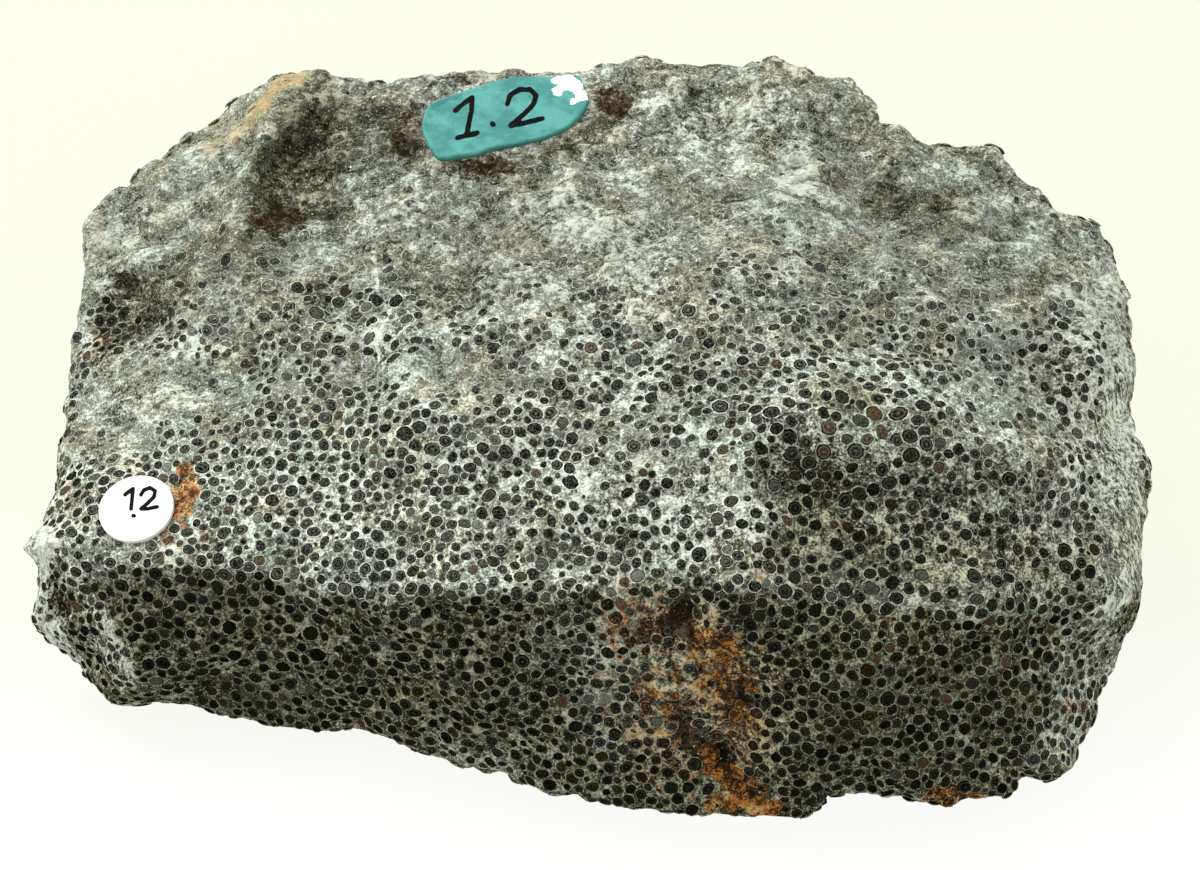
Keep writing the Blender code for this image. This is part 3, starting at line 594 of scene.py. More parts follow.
class Nodes:
    """Short ways to add nodes to one material's tree. Each gives the new node's output."""

    def __init__(self, tree):
        self.tree = tree

    def fill(self, inputs, values):
        """Sets inputs, by name or number, or links them to the outputs that are given."""
        for key, value in values.items():
            if isinstance(value, bpy.types.NodeSocket):
                self.tree.links.new(value, inputs[key])
            else:
                inputs[key].default_value = value

    def add(self, kind, output, inputs, **settings):
        node = self.tree.nodes.new(kind)
        for key, value in settings.items():
            setattr(node, key, value)
        self.fill(node.inputs, inputs)
        return node.outputs[output]

    def value(self, name):
        return self.add("ShaderNodeAttribute", "Fac", {}, attribute_name=name)

    def colour(self, name):
        return self.add("ShaderNodeAttribute", "Color", {}, attribute_name=name)

    def math(self, operation, a, b=0.0):
        return self.add("ShaderNodeMath", 0, {0: a, 1: b}, operation=operation)

    def times(self, a, b):
        return self.math("MULTIPLY", a, b)

    def plus(self, a, b):
        return self.math("ADD", a, b)

    def less(self, a, b):
        return self.math("SUBTRACT", a, b)

    def swing(self, noise, amount):
        """A noise's swing about its middle, times an amount."""
        return self.times(self.less(noise, 0.5), amount)

    def step(self, value, low, high, to_low=0.0, to_high=1.0):
        """A smooth step between two numbers as a value goes from low to high."""
        inputs = dict(enumerate((value, low, high, to_low, to_high)))
        return self.add("ShaderNodeMapRange", 0, inputs, interpolation_type="SMOOTHSTEP")

    def blend(self, share, first, second):
        """A number between two numbers."""
        return self.add("ShaderNodeMix", 0, {0: share, 2: first, 3: second}, data_type="FLOAT")

    def mix(self, share, first, second, blend="MIX"):
        """A colour between two colours, or the first one times the second."""
        first, second = (c if isinstance(c, bpy.types.NodeSocket) else (*c, 1.0) for c in (first, second))
        inputs = {0: share, 6: first, 7: second}
        return self.add("ShaderNodeMix", 2, inputs, data_type="RGBA", blend_type=blend)

    def vector(self, operation, a, b):
        return self.add("ShaderNodeVectorMath", 0, {0: a, 1: b}, operation=operation)

    def scaled(self, vector, factor):
        return self.add("ShaderNodeVectorMath", 0, {0: vector, "Scale": factor}, operation="SCALE")

    def places(self):
        """The object's own coordinates, in millimetres."""
        return self.scaled(self.add("ShaderNodeTexCoord", "Object", {}), 1.0 / MM)

    def stretched(self, places, factors):
        return self.vector("MULTIPLY", places, factors)

    def shifted(self, places, wavelength_mm, amount_mm):
        """The same places pushed about by noise, so that what is drawn there runs unevenly."""
        inputs = {"Vector": places, "Scale": 1.0 / wavelength_mm, "Detail": 2.0}
        push = self.vector("SUBTRACT", self.add("ShaderNodeTexNoise", "Color", inputs), (0.5, 0.5, 0.5))
        return self.vector("ADD", places, self.scaled(push, amount_mm * 2.0))

    def noise(self, places, wavelength_mm, detail=2.0, roughness=0.5, distortion=0.0):
        inputs = {"Vector": places, "Scale": 1.0 / wavelength_mm, "Detail": detail}
        inputs |= {"Roughness": roughness, "Distortion": distortion}
        return self.add("ShaderNodeTexNoise", "Fac", inputs)

    def cells(self, places, wavelength_mm, feature="F1"):
        inputs = {"Vector": places, "Scale": 1.0 / wavelength_mm}
        return self.add("ShaderNodeTexVoronoi", "Distance", inputs, feature=feature)

    def bump(self, height, depth, strength=1.0):
        inputs = {"Strength": strength, "Distance": depth, "Height": height}
        return self.add("ShaderNodeBump", "Normal", inputs)


PALE_CEMENT = (0.62, 0.668, 0.590)
GREY_CEMENT = (0.208, 0.220, 0.182)
DARK_CEMENT = (0.034, 0.034, 0.021)
# The freshly broken cement's colours, darkened further as painted shade.
FRESH_SHADED_PALE = (0.298, 0.296, 0.200)
FRESH_SHADED_GREY = (0.058, 0.057, 0.032)
FRESH_SHADED_DARK = (0.008, 0.008, 0.0035)
GLINT = (0.46, 0.49, 0.40)
CHALK = (0.62, 0.675, 0.585)
DEEP_BROWN = (0.0095, 0.0064, 0.0032)
EARTH = (0.042, 0.029, 0.015)
RUST_DARK = (0.058, 0.024, 0.007)
RUST_BRIGHT = (0.400, 0.152, 0.032)
RUST_GOLD = (0.500, 0.310, 0.100)
OCHRE = (0.185, 0.122, 0.056)
TAN = (0.50, 0.345, 0.140)
TAN_PALE = (0.47, 0.44, 0.26)
# Painted shade, and darker patches at random on the unseen sides.
SHADE_AND_GRIME = (0.02, 0.018, 0.012)
CRACK_SHADE = (0.016, 0.013, 0.009)
COOL, WARM, OLIVE = (0.88, 1.0, 0.97), (0.92, 0.84, 0.70), (1.08, 1.0, 0.62)
HOLLOW_SHADE, SEAM_SHADE = (0.42, 0.41, 0.38), (0.30, 0.28, 0.24)
GRAIN_PIT, GRAIN_EDGE = (0.0030, 0.0028, 0.0016), (0.0040, 0.0038, 0.0022)
# Pale rims round the grains: weathered ones, and freshly broken ones darkened as painted shade.
RIM_AGED, RIM_FRESH_SHADED = (0.70, 0.75, 0.66), (0.280, 0.295, 0.205)
TEAL, TEAL_PALE = (0.046, 0.180, 0.166), (0.084, 0.272, 0.242)
TEAL_STREAK, TEAL_EDGE = (0.034, 0.120, 0.114), (0.022, 0.090, 0.082)
CHIP_WHITE = (0.88, 0.92, 0.87)
PAPER_GREY, PAPER_WHITE, PAPER_EDGE = (0.76, 0.77, 0.72), (0.82, 0.83, 0.78), (0.55, 0.53, 0.45)
INK = (0.002, 0.002, 0.002)

# How far from the middle of a pen line, in pixels, the ink is gone and is full.
PEN_ON_PAINT, PEN_ON_PAPER = (2.9, 2.2), (2.3, 1.8)


def cement_tone(n, places):
    """The noises that the cement's colours share, and the tone they make together, about 0.5."""
    c = SimpleNamespace(places=places, uneven=n.shifted(places, 1.6, 0.55))
    c.broad = n.noise(places, 3.4, 3.0, 0.6)
    c.speck = n.noise(places, 0.24, 1.0)
    c.grit = n.noise(places, 0.18, 0.0)
    c.groups = n.noise(places, 2.3, 1.0)
    c.tinge = n.noise(places, 5.5, 3.0)
    c.calm = n.less(1.0, n.value("clear"))
    steep = n.value("steep")
    streak = n.noise(n.stretched(c.uneven, (0.15, 1.0, 1.0)), 0.46, 3.0, 0.65)
    c.mottle = n.blend(n.times(n.value("streaked"), 0.75), n.noise(c.uneven, 0.8, 3.0, 0.65), streak)
    fibres = n.noise(n.stretched(c.uneven, (1.0, 1.0, 0.13)), 0.36, 3.0, 0.65)
    c.mottle = n.blend(n.times(steep, 0.9), c.mottle, fibres)
    tone = n.swing(c.mottle, n.plus(n.blend(c.calm, 0.70, 0.64), n.times(steep, 0.45)))
    tone = n.plus(tone, n.swing(c.speck, n.blend(c.calm, 0.48, 0.28)))
    tone = n.plus(tone, n.swing(c.broad, n.blend(c.calm, 0.40, 0.30)))
    # Painted shade where a place lies deep and painted light where it stands out.
    tone = n.plus(tone, n.times(n.value("standing"), n.blend(c.calm, 0.04, 0.12)))
    c.tone = n.plus(tone, 0.5)
    return c


def aged_cement(n, c):
    """Weathered cement: dark to pale grey, cooler or warmer by places, with pale specks."""
    colour = n.mix(n.step(c.tone, 0.36, 0.49), DARK_CEMENT, GREY_CEMENT)
    colour = n.mix(n.step(c.tone, 0.5, 0.64), colour, PALE_CEMENT)
    colour = n.mix(n.step(c.tinge, 0.45, 0.65, 0.0, 0.6), colour, COOL, "MULTIPLY")
    colour = n.mix(n.step(c.tinge, 0.53, 0.36, 0.0, 0.9), colour, WARM, "MULTIPLY")
    return n.mix(n.times(n.step(c.grit, 0.64, 0.72), n.blend(c.calm, 0.15, 0.6)), colour, CHALK)


def fresh_shaded_cement(n, c):
    """Freshly broken cement, darkened further as painted shade: a dark olive grey with painted glints here
    and there.
    """
    colour = n.mix(n.step(c.tone, 0.39, 0.5), FRESH_SHADED_DARK, FRESH_SHADED_GREY)
    colour = n.mix(n.step(c.tone, 0.5, 0.65), colour, FRESH_SHADED_PALE)
    colour = n.mix(n.step(c.tinge, 0.45, 0.7, 0.0, 0.5), colour, OLIVE, "MULTIPLY")
    return n.mix(n.step(c.grit, 0.68, 0.76, 0.0, 0.7), colour, GLINT)


def with_stains(n, c, colour):
    """The cement with its tan patches and its chalky ones, which also carry painted light, all breaking up
    at their edges, and darkened as painted shade on the seen side and at random elsewhere.
    """
    tan = n.mix(n.step(n.plus(n.value("tan"), n.swing(c.broad, 1.5)), 0.55, 0.95), TAN_PALE, TAN)
    for name, raggedness, tint, most in (("tan", 1.8, tan, 0.85), ("chalk_and_lit", 2.8, CHALK, 0.8)):
        share = n.step(n.plus(n.value(name), n.swing(c.tone, raggedness)), 0.3, 1.0)
        share = n.times(share, n.blend(n.value("fresh_and_shaded"), 1.0, n.step(c.tone, 0.42, 0.54)))
        shade = n.mix(n.step(c.mottle, 0.40, 0.59, 0.55, 0.0), tint, n.mix(0.5, colour, GREY_CEMENT))
        colour = n.mix(n.times(share, most), colour, shade)
    # Painted shade on the seen side; on the other sides, darker patches at random.
    return n.mix(n.times(n.value("shade_and_grime"), 0.5), colour, SHADE_AND_GRIME)


def with_rust(n, c, colour):
    """The cement with brown earth in its dark pits, and with dark, orange and golden rust."""
    dark, blots = n.value("dark_rust"), n.noise(c.places, 1.5, 3.0, 0.65)
    earth = n.mix(n.step(c.tone, 0.42, 0.54), DEEP_BROWN, EARTH)
    earth = n.mix(n.step(c.tone, 0.58, 0.72), earth, OCHRE)
    brown = n.step(n.less(dark, n.swing(c.tone, 1.8)), 0.3, 0.85)
    colour = n.mix(n.times(brown, 0.97), colour, earth)
    worn = n.less(c.tone, n.times(dark, 0.13))
    rust = n.mix(n.step(worn, 0.35, 0.45), DEEP_BROWN, RUST_DARK)
    bright = n.mix(n.step(blots, 0.56, 0.44), RUST_BRIGHT, RUST_GOLD)
    rust = n.mix(n.step(worn, 0.46, 0.56), rust, bright)
    scattered = n.plus(n.swing(blots, 2.6), n.swing(n.blend(0.5, c.mottle, c.speck), 1.6))
    rusty = n.step(n.plus(n.value("rust"), scattered), 0.42, 0.62)
    return n.mix(n.times(rusty, n.step(n.value("rust"), 0.02, 0.15, 0.0, 0.9)), colour, rust)


def cement_colour(n, places):
    """The cement between the grains: its colour, the tone it comes from, and the fine crests."""
    c = cement_tone(n, places)
    edges = n.cells(c.uneven, 1.15, "DISTANCE_TO_EDGE")
    comb = n.times(n.step(c.groups, 0.44, 0.56), n.value("crests"))
    crest = n.times(n.step(edges, 0.07, 0.02), comb)
    hollow = n.times(n.step(edges, 0.10, 0.26), comb)
    colour = n.mix(n.value("fresh_and_shaded"), aged_cement(n, c), fresh_shaded_cement(n, c))
    colour = n.mix(n.times(hollow, 0.4), colour, HOLLOW_SHADE, "MULTIPLY")
    folds = n.noise(n.stretched(c.uneven, (0.5, 1.0, 1.0)), 1.2, 3.0, 0.6)
    seam = n.step(n.math("ABSOLUTE", n.less(folds, 0.5)), 0.030, 0.006)
    seam = n.times(seam, n.step(c.calm, 0.2, 0.7, 0.0, 0.55))
    colour = with_stains(n, c, n.mix(seam, colour, SEAM_SHADE, "MULTIPLY"))
    colour = with_rust(n, c, n.mix(n.times(crest, 0.6), colour, PALE_CEMENT))
    fleck = n.times(n.step(n.cells(c.uneven, 0.9), 0.17, 0.1), n.step(c.groups, 0.5, 0.4))
    fleck = n.times(fleck, n.step(n.value("fresh_and_shaded"), 0.9, 0.3, 0.15, 0.8))
    return n.mix(fleck, colour, CHALK), c.tone, crest


def thin_line(n, name, width, broken):
    """Where a crack or vein runs, with an uneven width."""
    offset = n.math("ABSOLUTE", n.plus(n.value(name), width))
    return n.times(n.times(n.step(offset, 1.3, 0.6), n.value(name + "_near")), broken)


def stone_material():
    material, n, shader = new_material("stone_cement")
    places = n.places()
    colour, tone, crest = cement_colour(n, places)
    width = n.swing(n.noise(places, 0.8, 2.0), 3.6)
    broken = n.step(n.noise(places, 1.2, 1.0), 0.36, 0.52, 0.15, 0.95)
    crack = thin_line(n, "crack", width, broken)
    vein = thin_line(n, "vein", width, broken)
    colour = n.mix(n.times(vein, 0.85), colour, CHALK)
    # Painted shade in the cracks.
    colour = n.mix(n.times(crack, 0.7), colour, CRACK_SHADE)
    height = n.plus(n.noise(places, 0.6, 3.0, 0.6), n.times(n.noise(places, 0.17, 1.0), 0.3))
    height = n.plus(height, n.times(n.noise(n.shifted(places, 2.0, 0.8), 1.7, 1.0), 1.2))
    height = n.plus(height, n.times(crest, 0.5))
    height = n.less(height, n.times(crack, 0.9))
    n.fill(shader, {"Base Color": colour, "Roughness": n.step(tone, 0.35, 0.7, 0.55, 0.85),
                    "Specular IOR Level": 0.02, "Normal": n.bump(height, 0.34 * MM)})
    return material


def grain_core(n, places, radial, tone, cement):
    """A dome's own colour: its tint with dark pits, and on some a nucleus, a ring, rust or a veil."""
    tint, fresh_and_shaded, ringed = n.colour("tint"), n.value("fresh_and_shaded"), n.value("ringed")
    inner = n.noise(places, 0.2, 2.0, 0.7)
    light = n.mix(fresh_and_shaded, n.mix(0.5, tint, GREY_CEMENT), n.mix(0.5, tint, FRESH_SHADED_GREY))
    # Grains in the freshly broken places keep less of the lighter mottle: partly painted shade.
    most = n.blend(fresh_and_shaded, 0.72, 0.14)
    core = n.mix(n.times(n.step(inner, 0.48, 0.62), most), tint, light)
    nucleus = n.times(n.step(radial, 0.28, 0.12), n.step(ringed, 0.35, 0.6))
    core = n.mix(n.times(nucleus, n.times(most, 0.6)), core, GREY_CEMENT)
    core = n.mix(n.step(inner, 0.53, 0.34, 0.0, 0.75), core, GRAIN_PIT)
    ring = n.times(n.step(radial, 0.56, 0.66), n.step(radial, 0.80, 0.72))
    core = n.mix(n.times(ring, ringed), core, light)
    core = n.mix(n.step(radial, 0.78, 0.9, 0.0, 0.8), core, GRAIN_EDGE)
    stained = n.step(n.plus(n.value("rust"), tone), 0.85, 1.2, 0.0, 0.85)
    core = n.mix(stained, core, n.mix(n.step(tone, 0.45, 0.6), RUST_DARK, RUST_BRIGHT))
    veiled = n.step(n.plus(n.value("veil"), n.less(tone, 0.5)), 0.25, 0.75, 0.0, 0.84)
    return n.mix(veiled, core, cement)


def grain_collar(n, places, radial, cement):
    """The cement round a dome, with a broken pale or rusty rim."""
    rim = n.times(n.step(radial, 0.98, 1.04), n.step(radial, 1.18, 1.08))
    rim = n.times(rim, n.step(n.noise(places, 0.6), 0.36, 0.52))
    colour = n.mix(n.value("fresh_and_shaded"), RIM_AGED, RIM_FRESH_SHADED)
    colour = n.mix(n.step(n.value("rust"), 0.1, 0.6, 0.0, 0.8), colour, RUST_BRIGHT)
    return n.mix(n.times(rim, n.value("rimmed")), cement, colour)


def grain_material():
    """A grain's dome inside its collar of cement. radial is 0 at its middle and 1 at its edge."""
    material, n, shader = new_material("grains")
    places = n.places()
    cement, tone, _ = cement_colour(n, places)
    radial = n.plus(n.value("radial"), n.swing(n.noise(places, 0.35), 0.2))
    core = grain_core(n, places, radial, tone, cement)
    colour = n.mix(n.step(radial, 0.96, 1.04), core, grain_collar(n, places, radial, cement))
    height = n.plus(n.noise(places, 0.4, 3.0, 0.6), n.times(n.noise(places, 0.14, 1.0), 0.3))
    n.fill(shader, {"Base Color": colour, "Roughness": n.step(radial, 0.9, 1.05, 0.36, 0.75),
                    "Specular IOR Level": 0.0, "Normal": n.bump(height, 0.14 * MM)})
    return material


# A grain in section: distance from its middle and height, as shares of its radius.
SECTION = ((1.34, -0.30), (1.09, 0.03), (0.97, -0.08), (0.62, 0.09))
TOP = 0.15
GRAIN_RADIUS_MM, GRAIN_SPREAD_MM = 0.645, 0.095
GRAIN_LIMITS_MM = (0.36, 0.92)
SMALL_RADIUS_MM = (0.25, 0.42)
CLOSENESS, LOWEST_GRAIN_MM = 0.91, 0.25
BIG_TRIES, SMALL_TRIES = 130000, 20000
BIG_SIDES, SMALL_SIDES = 9, 6
MAP_FILL = 0.86
PIECE_NAMES = ("grains_left", "grains_middle_left", "grains_middle", "grains_middle_right", "grains_right")

# Colours of the grains, and how common each is where the stone is freshly broken, which is also where shade
# is painted, and where it is weathered.
GRAIN_TINTS = (
    ((0.0035, 0.0034, 0.0022), 0.60, 0.40),
    ((0.009, 0.009, 0.0065), 0.24, 0.30),
    ((0.045, 0.046, 0.038), 0.015, 0.09),
    ((0.120, 0.125, 0.105), 0.00, 0.015),
    ((0.014, 0.0085, 0.0036), 0.12, 0.10),
    ((0.056, 0.035, 0.017), 0.025, 0.035),
)


def scatter(data, rng, keep_out):
    """Picks the grains' middles on the stone: big ones first, then small ones in what room is left."""
    points, normals = mesh_arrays(data)
    corners = np.empty(len(data.polygons) * 3, dtype=np.int64)
    data.polygons.foreach_get("vertices", corners)
    corners = corners.reshape(-1, 3)
    a, b, c = points[corners[:, 0]], points[corners[:, 1]], points[corners[:, 2]]
    area = np.linalg.norm(np.cross(b - a, c - a), axis=1)
    tries = BIG_TRIES + SMALL_TRIES
    picked = rng.choice(len(corners), tries, p=area / area.sum())
    s, t = np.sqrt(rng.random(tries)), rng.random(tries)
    weights = np.stack((1.0 - s, s * (1.0 - t), s * t), axis=1)
    middles = (points[corners[picked]] * weights[:, :, None]).sum(axis=1)
    facing = (normals[corners[picked]] * weights[:, :, None]).sum(axis=1)
    facing /= np.linalg.norm(facing, axis=1)[:, None]
    x, y = picture_place(middles)
    seen = ((EYE - middles) * facing).sum(axis=1) > 0.0
    size = 1.0 + np.where(seen, 0.30 * cover(x, y, BIGGER) - 0.32 * cover(x, y, SMALLER), 0.0)
    radii = np.clip(rng.normal(GRAIN_RADIUS_MM, GRAIN_SPREAD_MM, tries) * size, *GRAIN_LIMITS_MM)
    small = np.arange(tries) >= BIG_TRIES
    radii = np.where(small, rng.uniform(*SMALL_RADIUS_MM, tries), radii) * MM
    free = (middles[:, 2] > LOWEST_GRAIN_MM * MM) & ~keep_out(middles)
    middles, facing, radii, small = middles[free], facing[free], radii[free], small[free]
    cell = 2.0 * GRAIN_LIMITS_MM[1] * CLOSENESS * MM
    keys = [tuple(k) for k in np.floor(middles / cell).astype(int).tolist()]
    places, sizes = middles.tolist(), radii.tolist()
    near = [(i, j, k) for i in (-1, 0, 1) for j in (-1, 0, 1) for k in (-1, 0, 1)]
    taken, kept = {}, []
    for n, (key, (px, py, pz), r) in enumerate(zip(keys, places, sizes)):
        clash = False
        for i, j, k in near:
            for qx, qy, qz, q in taken.get((key[0] + i, key[1] + j, key[2] + k), ()):
                gap = (r + q) * CLOSENESS
                if (px - qx) ** 2 + (py - qy) ** 2 + (pz - qz) ** 2 < gap * gap:
                    clash = True
                    break
            if clash:
                break
        if not clash:
            taken.setdefault(key, []).append((px, py, pz, r))
            kept.append(n)
    return middles[kept], facing[kept], radii[kept], small[kept]


def grain_pieces(stone, material, keep_out):
    """The grains as real relief, in a few joined meshes from left to right."""
    rng = np.random.default_rng(SEED)
    middles, facing, radii, small = scatter(stone, rng, keep_out)
    looks = looks_at(middles, facing)
    x, y = picture_place(middles)
    sparse = 0.3 * cover(x, y, SPARSER)
    shown = rng.random(len(middles)) < (0.42 + 0.58 * looks["clear"]) * (1.0 - sparse)
    order = np.flatnonzero(shown)
    order = order[np.argsort(middles[order, 0])]
    print("grains:", len(order), "small:", int(small[order].sum()))
    for name, group in zip(PIECE_NAMES, np.array_split(order, len(PIECE_NAMES))):
        values = {key: v[group] for key, v in looks.items()}
        data = grain_mesh(name, middles[group], facing[group], radii[group], small[group], values, rng)
        add_piece(name, data, material, "stone")


def dome_faces(sides):
    """The triangles of one dome: its rings, and the fan round its top, which is its last point."""
    pattern = []
    for k in range(len(SECTION) - 1):
        for i in range(sides):
            low, high, j = k * sides, (k + 1) * sides, (i + 1) % sides
            pattern += [(low + i, low + j, high + j), (low + i, high + j, high + i)]
    last = (len(SECTION) - 1) * sides
    pattern += [(last + i, last + (i + 1) % sides, last + sides) for i in range(sides)]
    return np.array(pattern)


def grain_mesh(name, middles, facing, radii, small, looks, rng):
    """One mesh of many grains, each a dome in a collar of cement."""
    count = len(middles)
    side = RIGHT - facing * (facing @ RIGHT)[:, None]
    short = np.linalg.norm(side, axis=1) < 0.2
    side[short] = np.cross(facing[short], (0.0, 1.0, 0.0))
    side /= np.linalg.norm(side, axis=1)[:, None]
    turn = rng.normal(0.0, 0.5, count)
    other = np.cross(facing, side)
    side, other = (
        side * np.cos(turn)[:, None] + other * np.sin(turn)[:, None],
        other * np.cos(turn)[:, None] - side * np.sin(turn)[:, None],
    )
    looks["veil"] = np.clip(1.0 - looks["clear"] * 1.25, 0.0, 0.8) * rng.uniform(0.5, 1.3, count)
    looks["ringed"] = rng.uniform(0.0, 1.0, count) ** 1.5
    looks["rimmed"] = rng.uniform(0.35, 1.0, count) * (0.3 + 0.7 * looks["clear"])
    looks["standing"] = np.zeros(count)
    proud = 0.3 + 0.7 * looks["clear"]
    sink = rng.uniform(-0.06, 0.02, count) * MM + 0.05 * MM
    squash = rng.uniform(0.98, 1.16, count)
    tints = pick_tints(small, looks, rng)
    points, faces, owner, radial, local, offset = [], [], [], [], [], 0
    for chosen, sides in ((np.flatnonzero(~small), BIG_SIDES), (np.flatnonzero(small), SMALL_SIDES)):
        number, pattern = len(chosen), dome_faces(sides)
        angle = rng.random(number)[:, None] * math.tau + np.arange(sides)[None, :] * math.tau / sides
        rings, flat = [], []
        for reach, height in SECTION:
            wave = 1.0 + rng.uniform(-0.06, 0.06, (number, sides)) * (1.0 if reach > 0.9 else 0.4)
            spread = radii[chosen][:, None] * reach * wave
            rise = radii[chosen] * height * (proud[chosen] if height > 0.0 else 1.0) + sink[chosen]
            along = np.cos(angle) * spread * squash[chosen][:, None]
            across = np.sin(angle) * spread / squash[chosen][:, None]
            ring = (middles[chosen] + facing[chosen] * rise[:, None])[:, None, :]
            ring = ring + side[chosen][:, None, :] * along[:, :, None]
            rings.append(ring + other[chosen][:, None, :] * across[:, :, None])
            flat.append(np.stack((np.cos(angle), np.sin(angle)), axis=2) * reach / SECTION[0][0])
        peak = radii[chosen] * TOP * proud[chosen] + sink[chosen]
        tops = middles[chosen] + facing[chosen] * peak[:, None]
        points.append(np.concatenate(rings + [tops[:, None, :]], axis=1).reshape(-1, 3))
        local.append(np.concatenate(flat + [np.zeros((number, 1, 2))], axis=1).reshape(-1, 2))
        per = sides * len(SECTION) + 1
        starts = offset + np.arange(number) * per
        faces.append((pattern[None] + starts[:, None, None]).reshape(-1, 3))
        owner.append(np.repeat(chosen, per))
        radial.append(np.tile(np.concatenate([np.full(sides, r) for r, _ in SECTION] + [[0.0]]), number))
        offset += number * per
    owner, radial, faces = np.concatenate(owner), np.concatenate(radial), np.concatenate(faces)
    points = np.concatenate(points)
    points[:, 2] = np.maximum(points[:, 2], 0.0)
    data = bpy.data.meshes.new(name)
    data.from_pydata(points.tolist(), [], faces.tolist())
    add_grain_map(data, faces, owner, np.concatenate(local), count)
    data.update()
    data.shade_smooth()
    for key, values in looks.items():
        add_values(data, key, values[owner])
    add_values(data, "radial", radial)
    tint = data.attributes.new("tint", "FLOAT_COLOR", "POINT")
    tint.data.foreach_set("color", tints[owner].astype(np.float32).ravel())
    return data


def add_grain_map(data, faces, owner, local, count):
    """A flat map for baking, with one square of it for each grain."""
    across = math.ceil(math.sqrt(count))
    corner = np.stack((owner % across, owner // across), axis=1)
    places = (corner + 0.5 + local * MAP_FILL * 0.5) / across
    places = places[faces.ravel()].astype(np.float32)
    data.uv_layers.new(name="OFBake").uv.foreach_set("vector", places.ravel())


def pick_tints(small, looks, rng):
    """A colour for each grain: mostly black where the stone is freshly broken and in painted shade, greyer
    where it is weathered.
    """
    fresh_and_shaded = looks["fresh_and_shaded"][:, None]
    at_fresh, at_aged = (np.array([tint[k] for tint in GRAIN_TINTS]) for k in (1, 2))
    odds = fresh_and_shaded * at_fresh + (1.0 - fresh_and_shaded) * at_aged
    odds[small, -1] *= 3.0
    odds = np.cumsum(odds / odds.sum(axis=1)[:, None], axis=1)
    which = (rng.random(len(small))[:, None] > odds).sum(axis=1)
    tints = np.array([g[0] for g in GRAIN_TINTS])[which] * rng.uniform(0.7, 1.4, len(small))[:, None]
    return np.concatenate((tints, np.ones((len(small), 1))), axis=1)


def stroke_distance(x, y, strokes):
    """The distance in pixels from each place to the nearest inked line."""
    best = np.full(len(x), FAR)
    for stroke in strokes:
        for start, end in zip(stroke, stroke[1:]):
            best = np.minimum(best, from_segment(x, y, start, end)[0])
    return best


def rounded_outline(corners, passes):
    """Cuts the corners of a closed outline until it runs smoothly."""
    for _ in range(passes):
        cut = []
        for i, a in enumerate(corners):
            b = corners[(i + 1) % len(corners)]
            cut.append((a[0] * 0.75 + b[0] * 0.25, a[1] * 0.75 + b[1] * 0.25))
            cut.append((a[0] * 0.25 + b[0] * 0.75, a[1] * 0.25 + b[1] * 0.75))
        corners = cut
    return corners


def distance_to_outline(x, y, outline):
    return stroke_distance(x, y, [outline + outline[:1]])


def inside(x, y, outline):
    """True where a place lies in a closed outline."""
    odd = np.zeros(len(x), dtype=bool)
    for i, (ax, ay) in enumerate(outline):
        bx, by = outline[(i + 1) % len(outline)]
        crosses = (ay > y) != (by > y)
        slope = (bx - ax) / (by - ay) if by != ay else 0.0
        odd ^= crosses & (x < ax + (y - ay) * slope)
    return odd


PAINT_CELL = 2.0
PAINT_THICKNESS_MM, PAINT_BEAD_MM, PAINT_SINK_MM = 0.34, 0.16, 0.35
PAINT_EDGE_MM, BEAD_PLACE_MM, BEAD_WIDTH_MM = 0.16, 0.45, 0.3
BRUSH_MM, PAINT_LIFT_MM, PAINT_PASSES = 0.07, 0.03, 6
NO_INK = 99.0


def paint_data(stone):
    """A film of paint that lies on the stone, with a rounded wavy edge and brush marks."""
    outline = rounded_outline(PAINT_OUTLINE, 2)
    across, down = (np.arange(min(span), max(span), PAINT_CELL) for span in zip(*outline))
    gx, gy = (grid.ravel() for grid in np.meshgrid(across, down))
    keep = inside(gx, gy, outline) & (distance_to_outline(gx, gy, outline) > PAINT_CELL * 0.7)
    gx, gy = gx[keep], gy[keep]
    places = [Vector(p) for p in outline] + [Vector((a, b)) for a, b in zip(gx, gy)]
    count = len(outline)
    rim = [(i, (i + 1) % count) for i in range(count)]
    faces = delaunay_2d_cdt(places, rim, [], 1, 1e-5)[2]
    x, y = np.array([tuple(p) for p in places]).T
    base, facing = laid_on(stone, x, y)
    base = smooth_over(base, faces, PAINT_PASSES)
    edge = distance_to_outline(x, y, outline) * PIXEL / MM
    bead = np.exp(-((edge - BEAD_PLACE_MM) / BEAD_WIDTH_MM) ** 2) * PAINT_BEAD_MM
    brush = [noise.noise(Vector((a * 0.03 + b * 0.012, b * 0.16 - a * 0.05, 3.0))) for a, b in zip(x, y)]
    thick = PAINT_THICKNESS_MM * (1.0 - np.exp(-edge / PAINT_EDGE_MM)) + bead
    thick += np.array(brush) * BRUSH_MM * smooth_step(0.0, 0.6, edge)
    up = np.array(facing)
    top = base + up[None, :] * ((thick + PAINT_LIFT_MM) * MM)[:, None]
    under = base - up[None, :] * PAINT_SINK_MM * MM
    total = len(places)
    mesh_faces = [list(f) for f in faces] + [[i + total for i in reversed(f)] for f in faces]
    mesh_faces += [[j, i, i + total, j + total] for i, j in rim]
    data = closed_mesh("painted_label", np.concatenate((top, under)).tolist(), mesh_faces)
    ink = stroke_distance(x, y, INK_ON_PAINT)
    chip = cover(x, y, PAINT_CHIPS)
    add_values(data, "ink", np.concatenate((ink, np.full(total, NO_INK))))
    add_values(data, "chip", np.concatenate((chip, np.zeros(total))))
    add_values(data, "edge", np.concatenate((edge, np.zeros(total))))
    return data


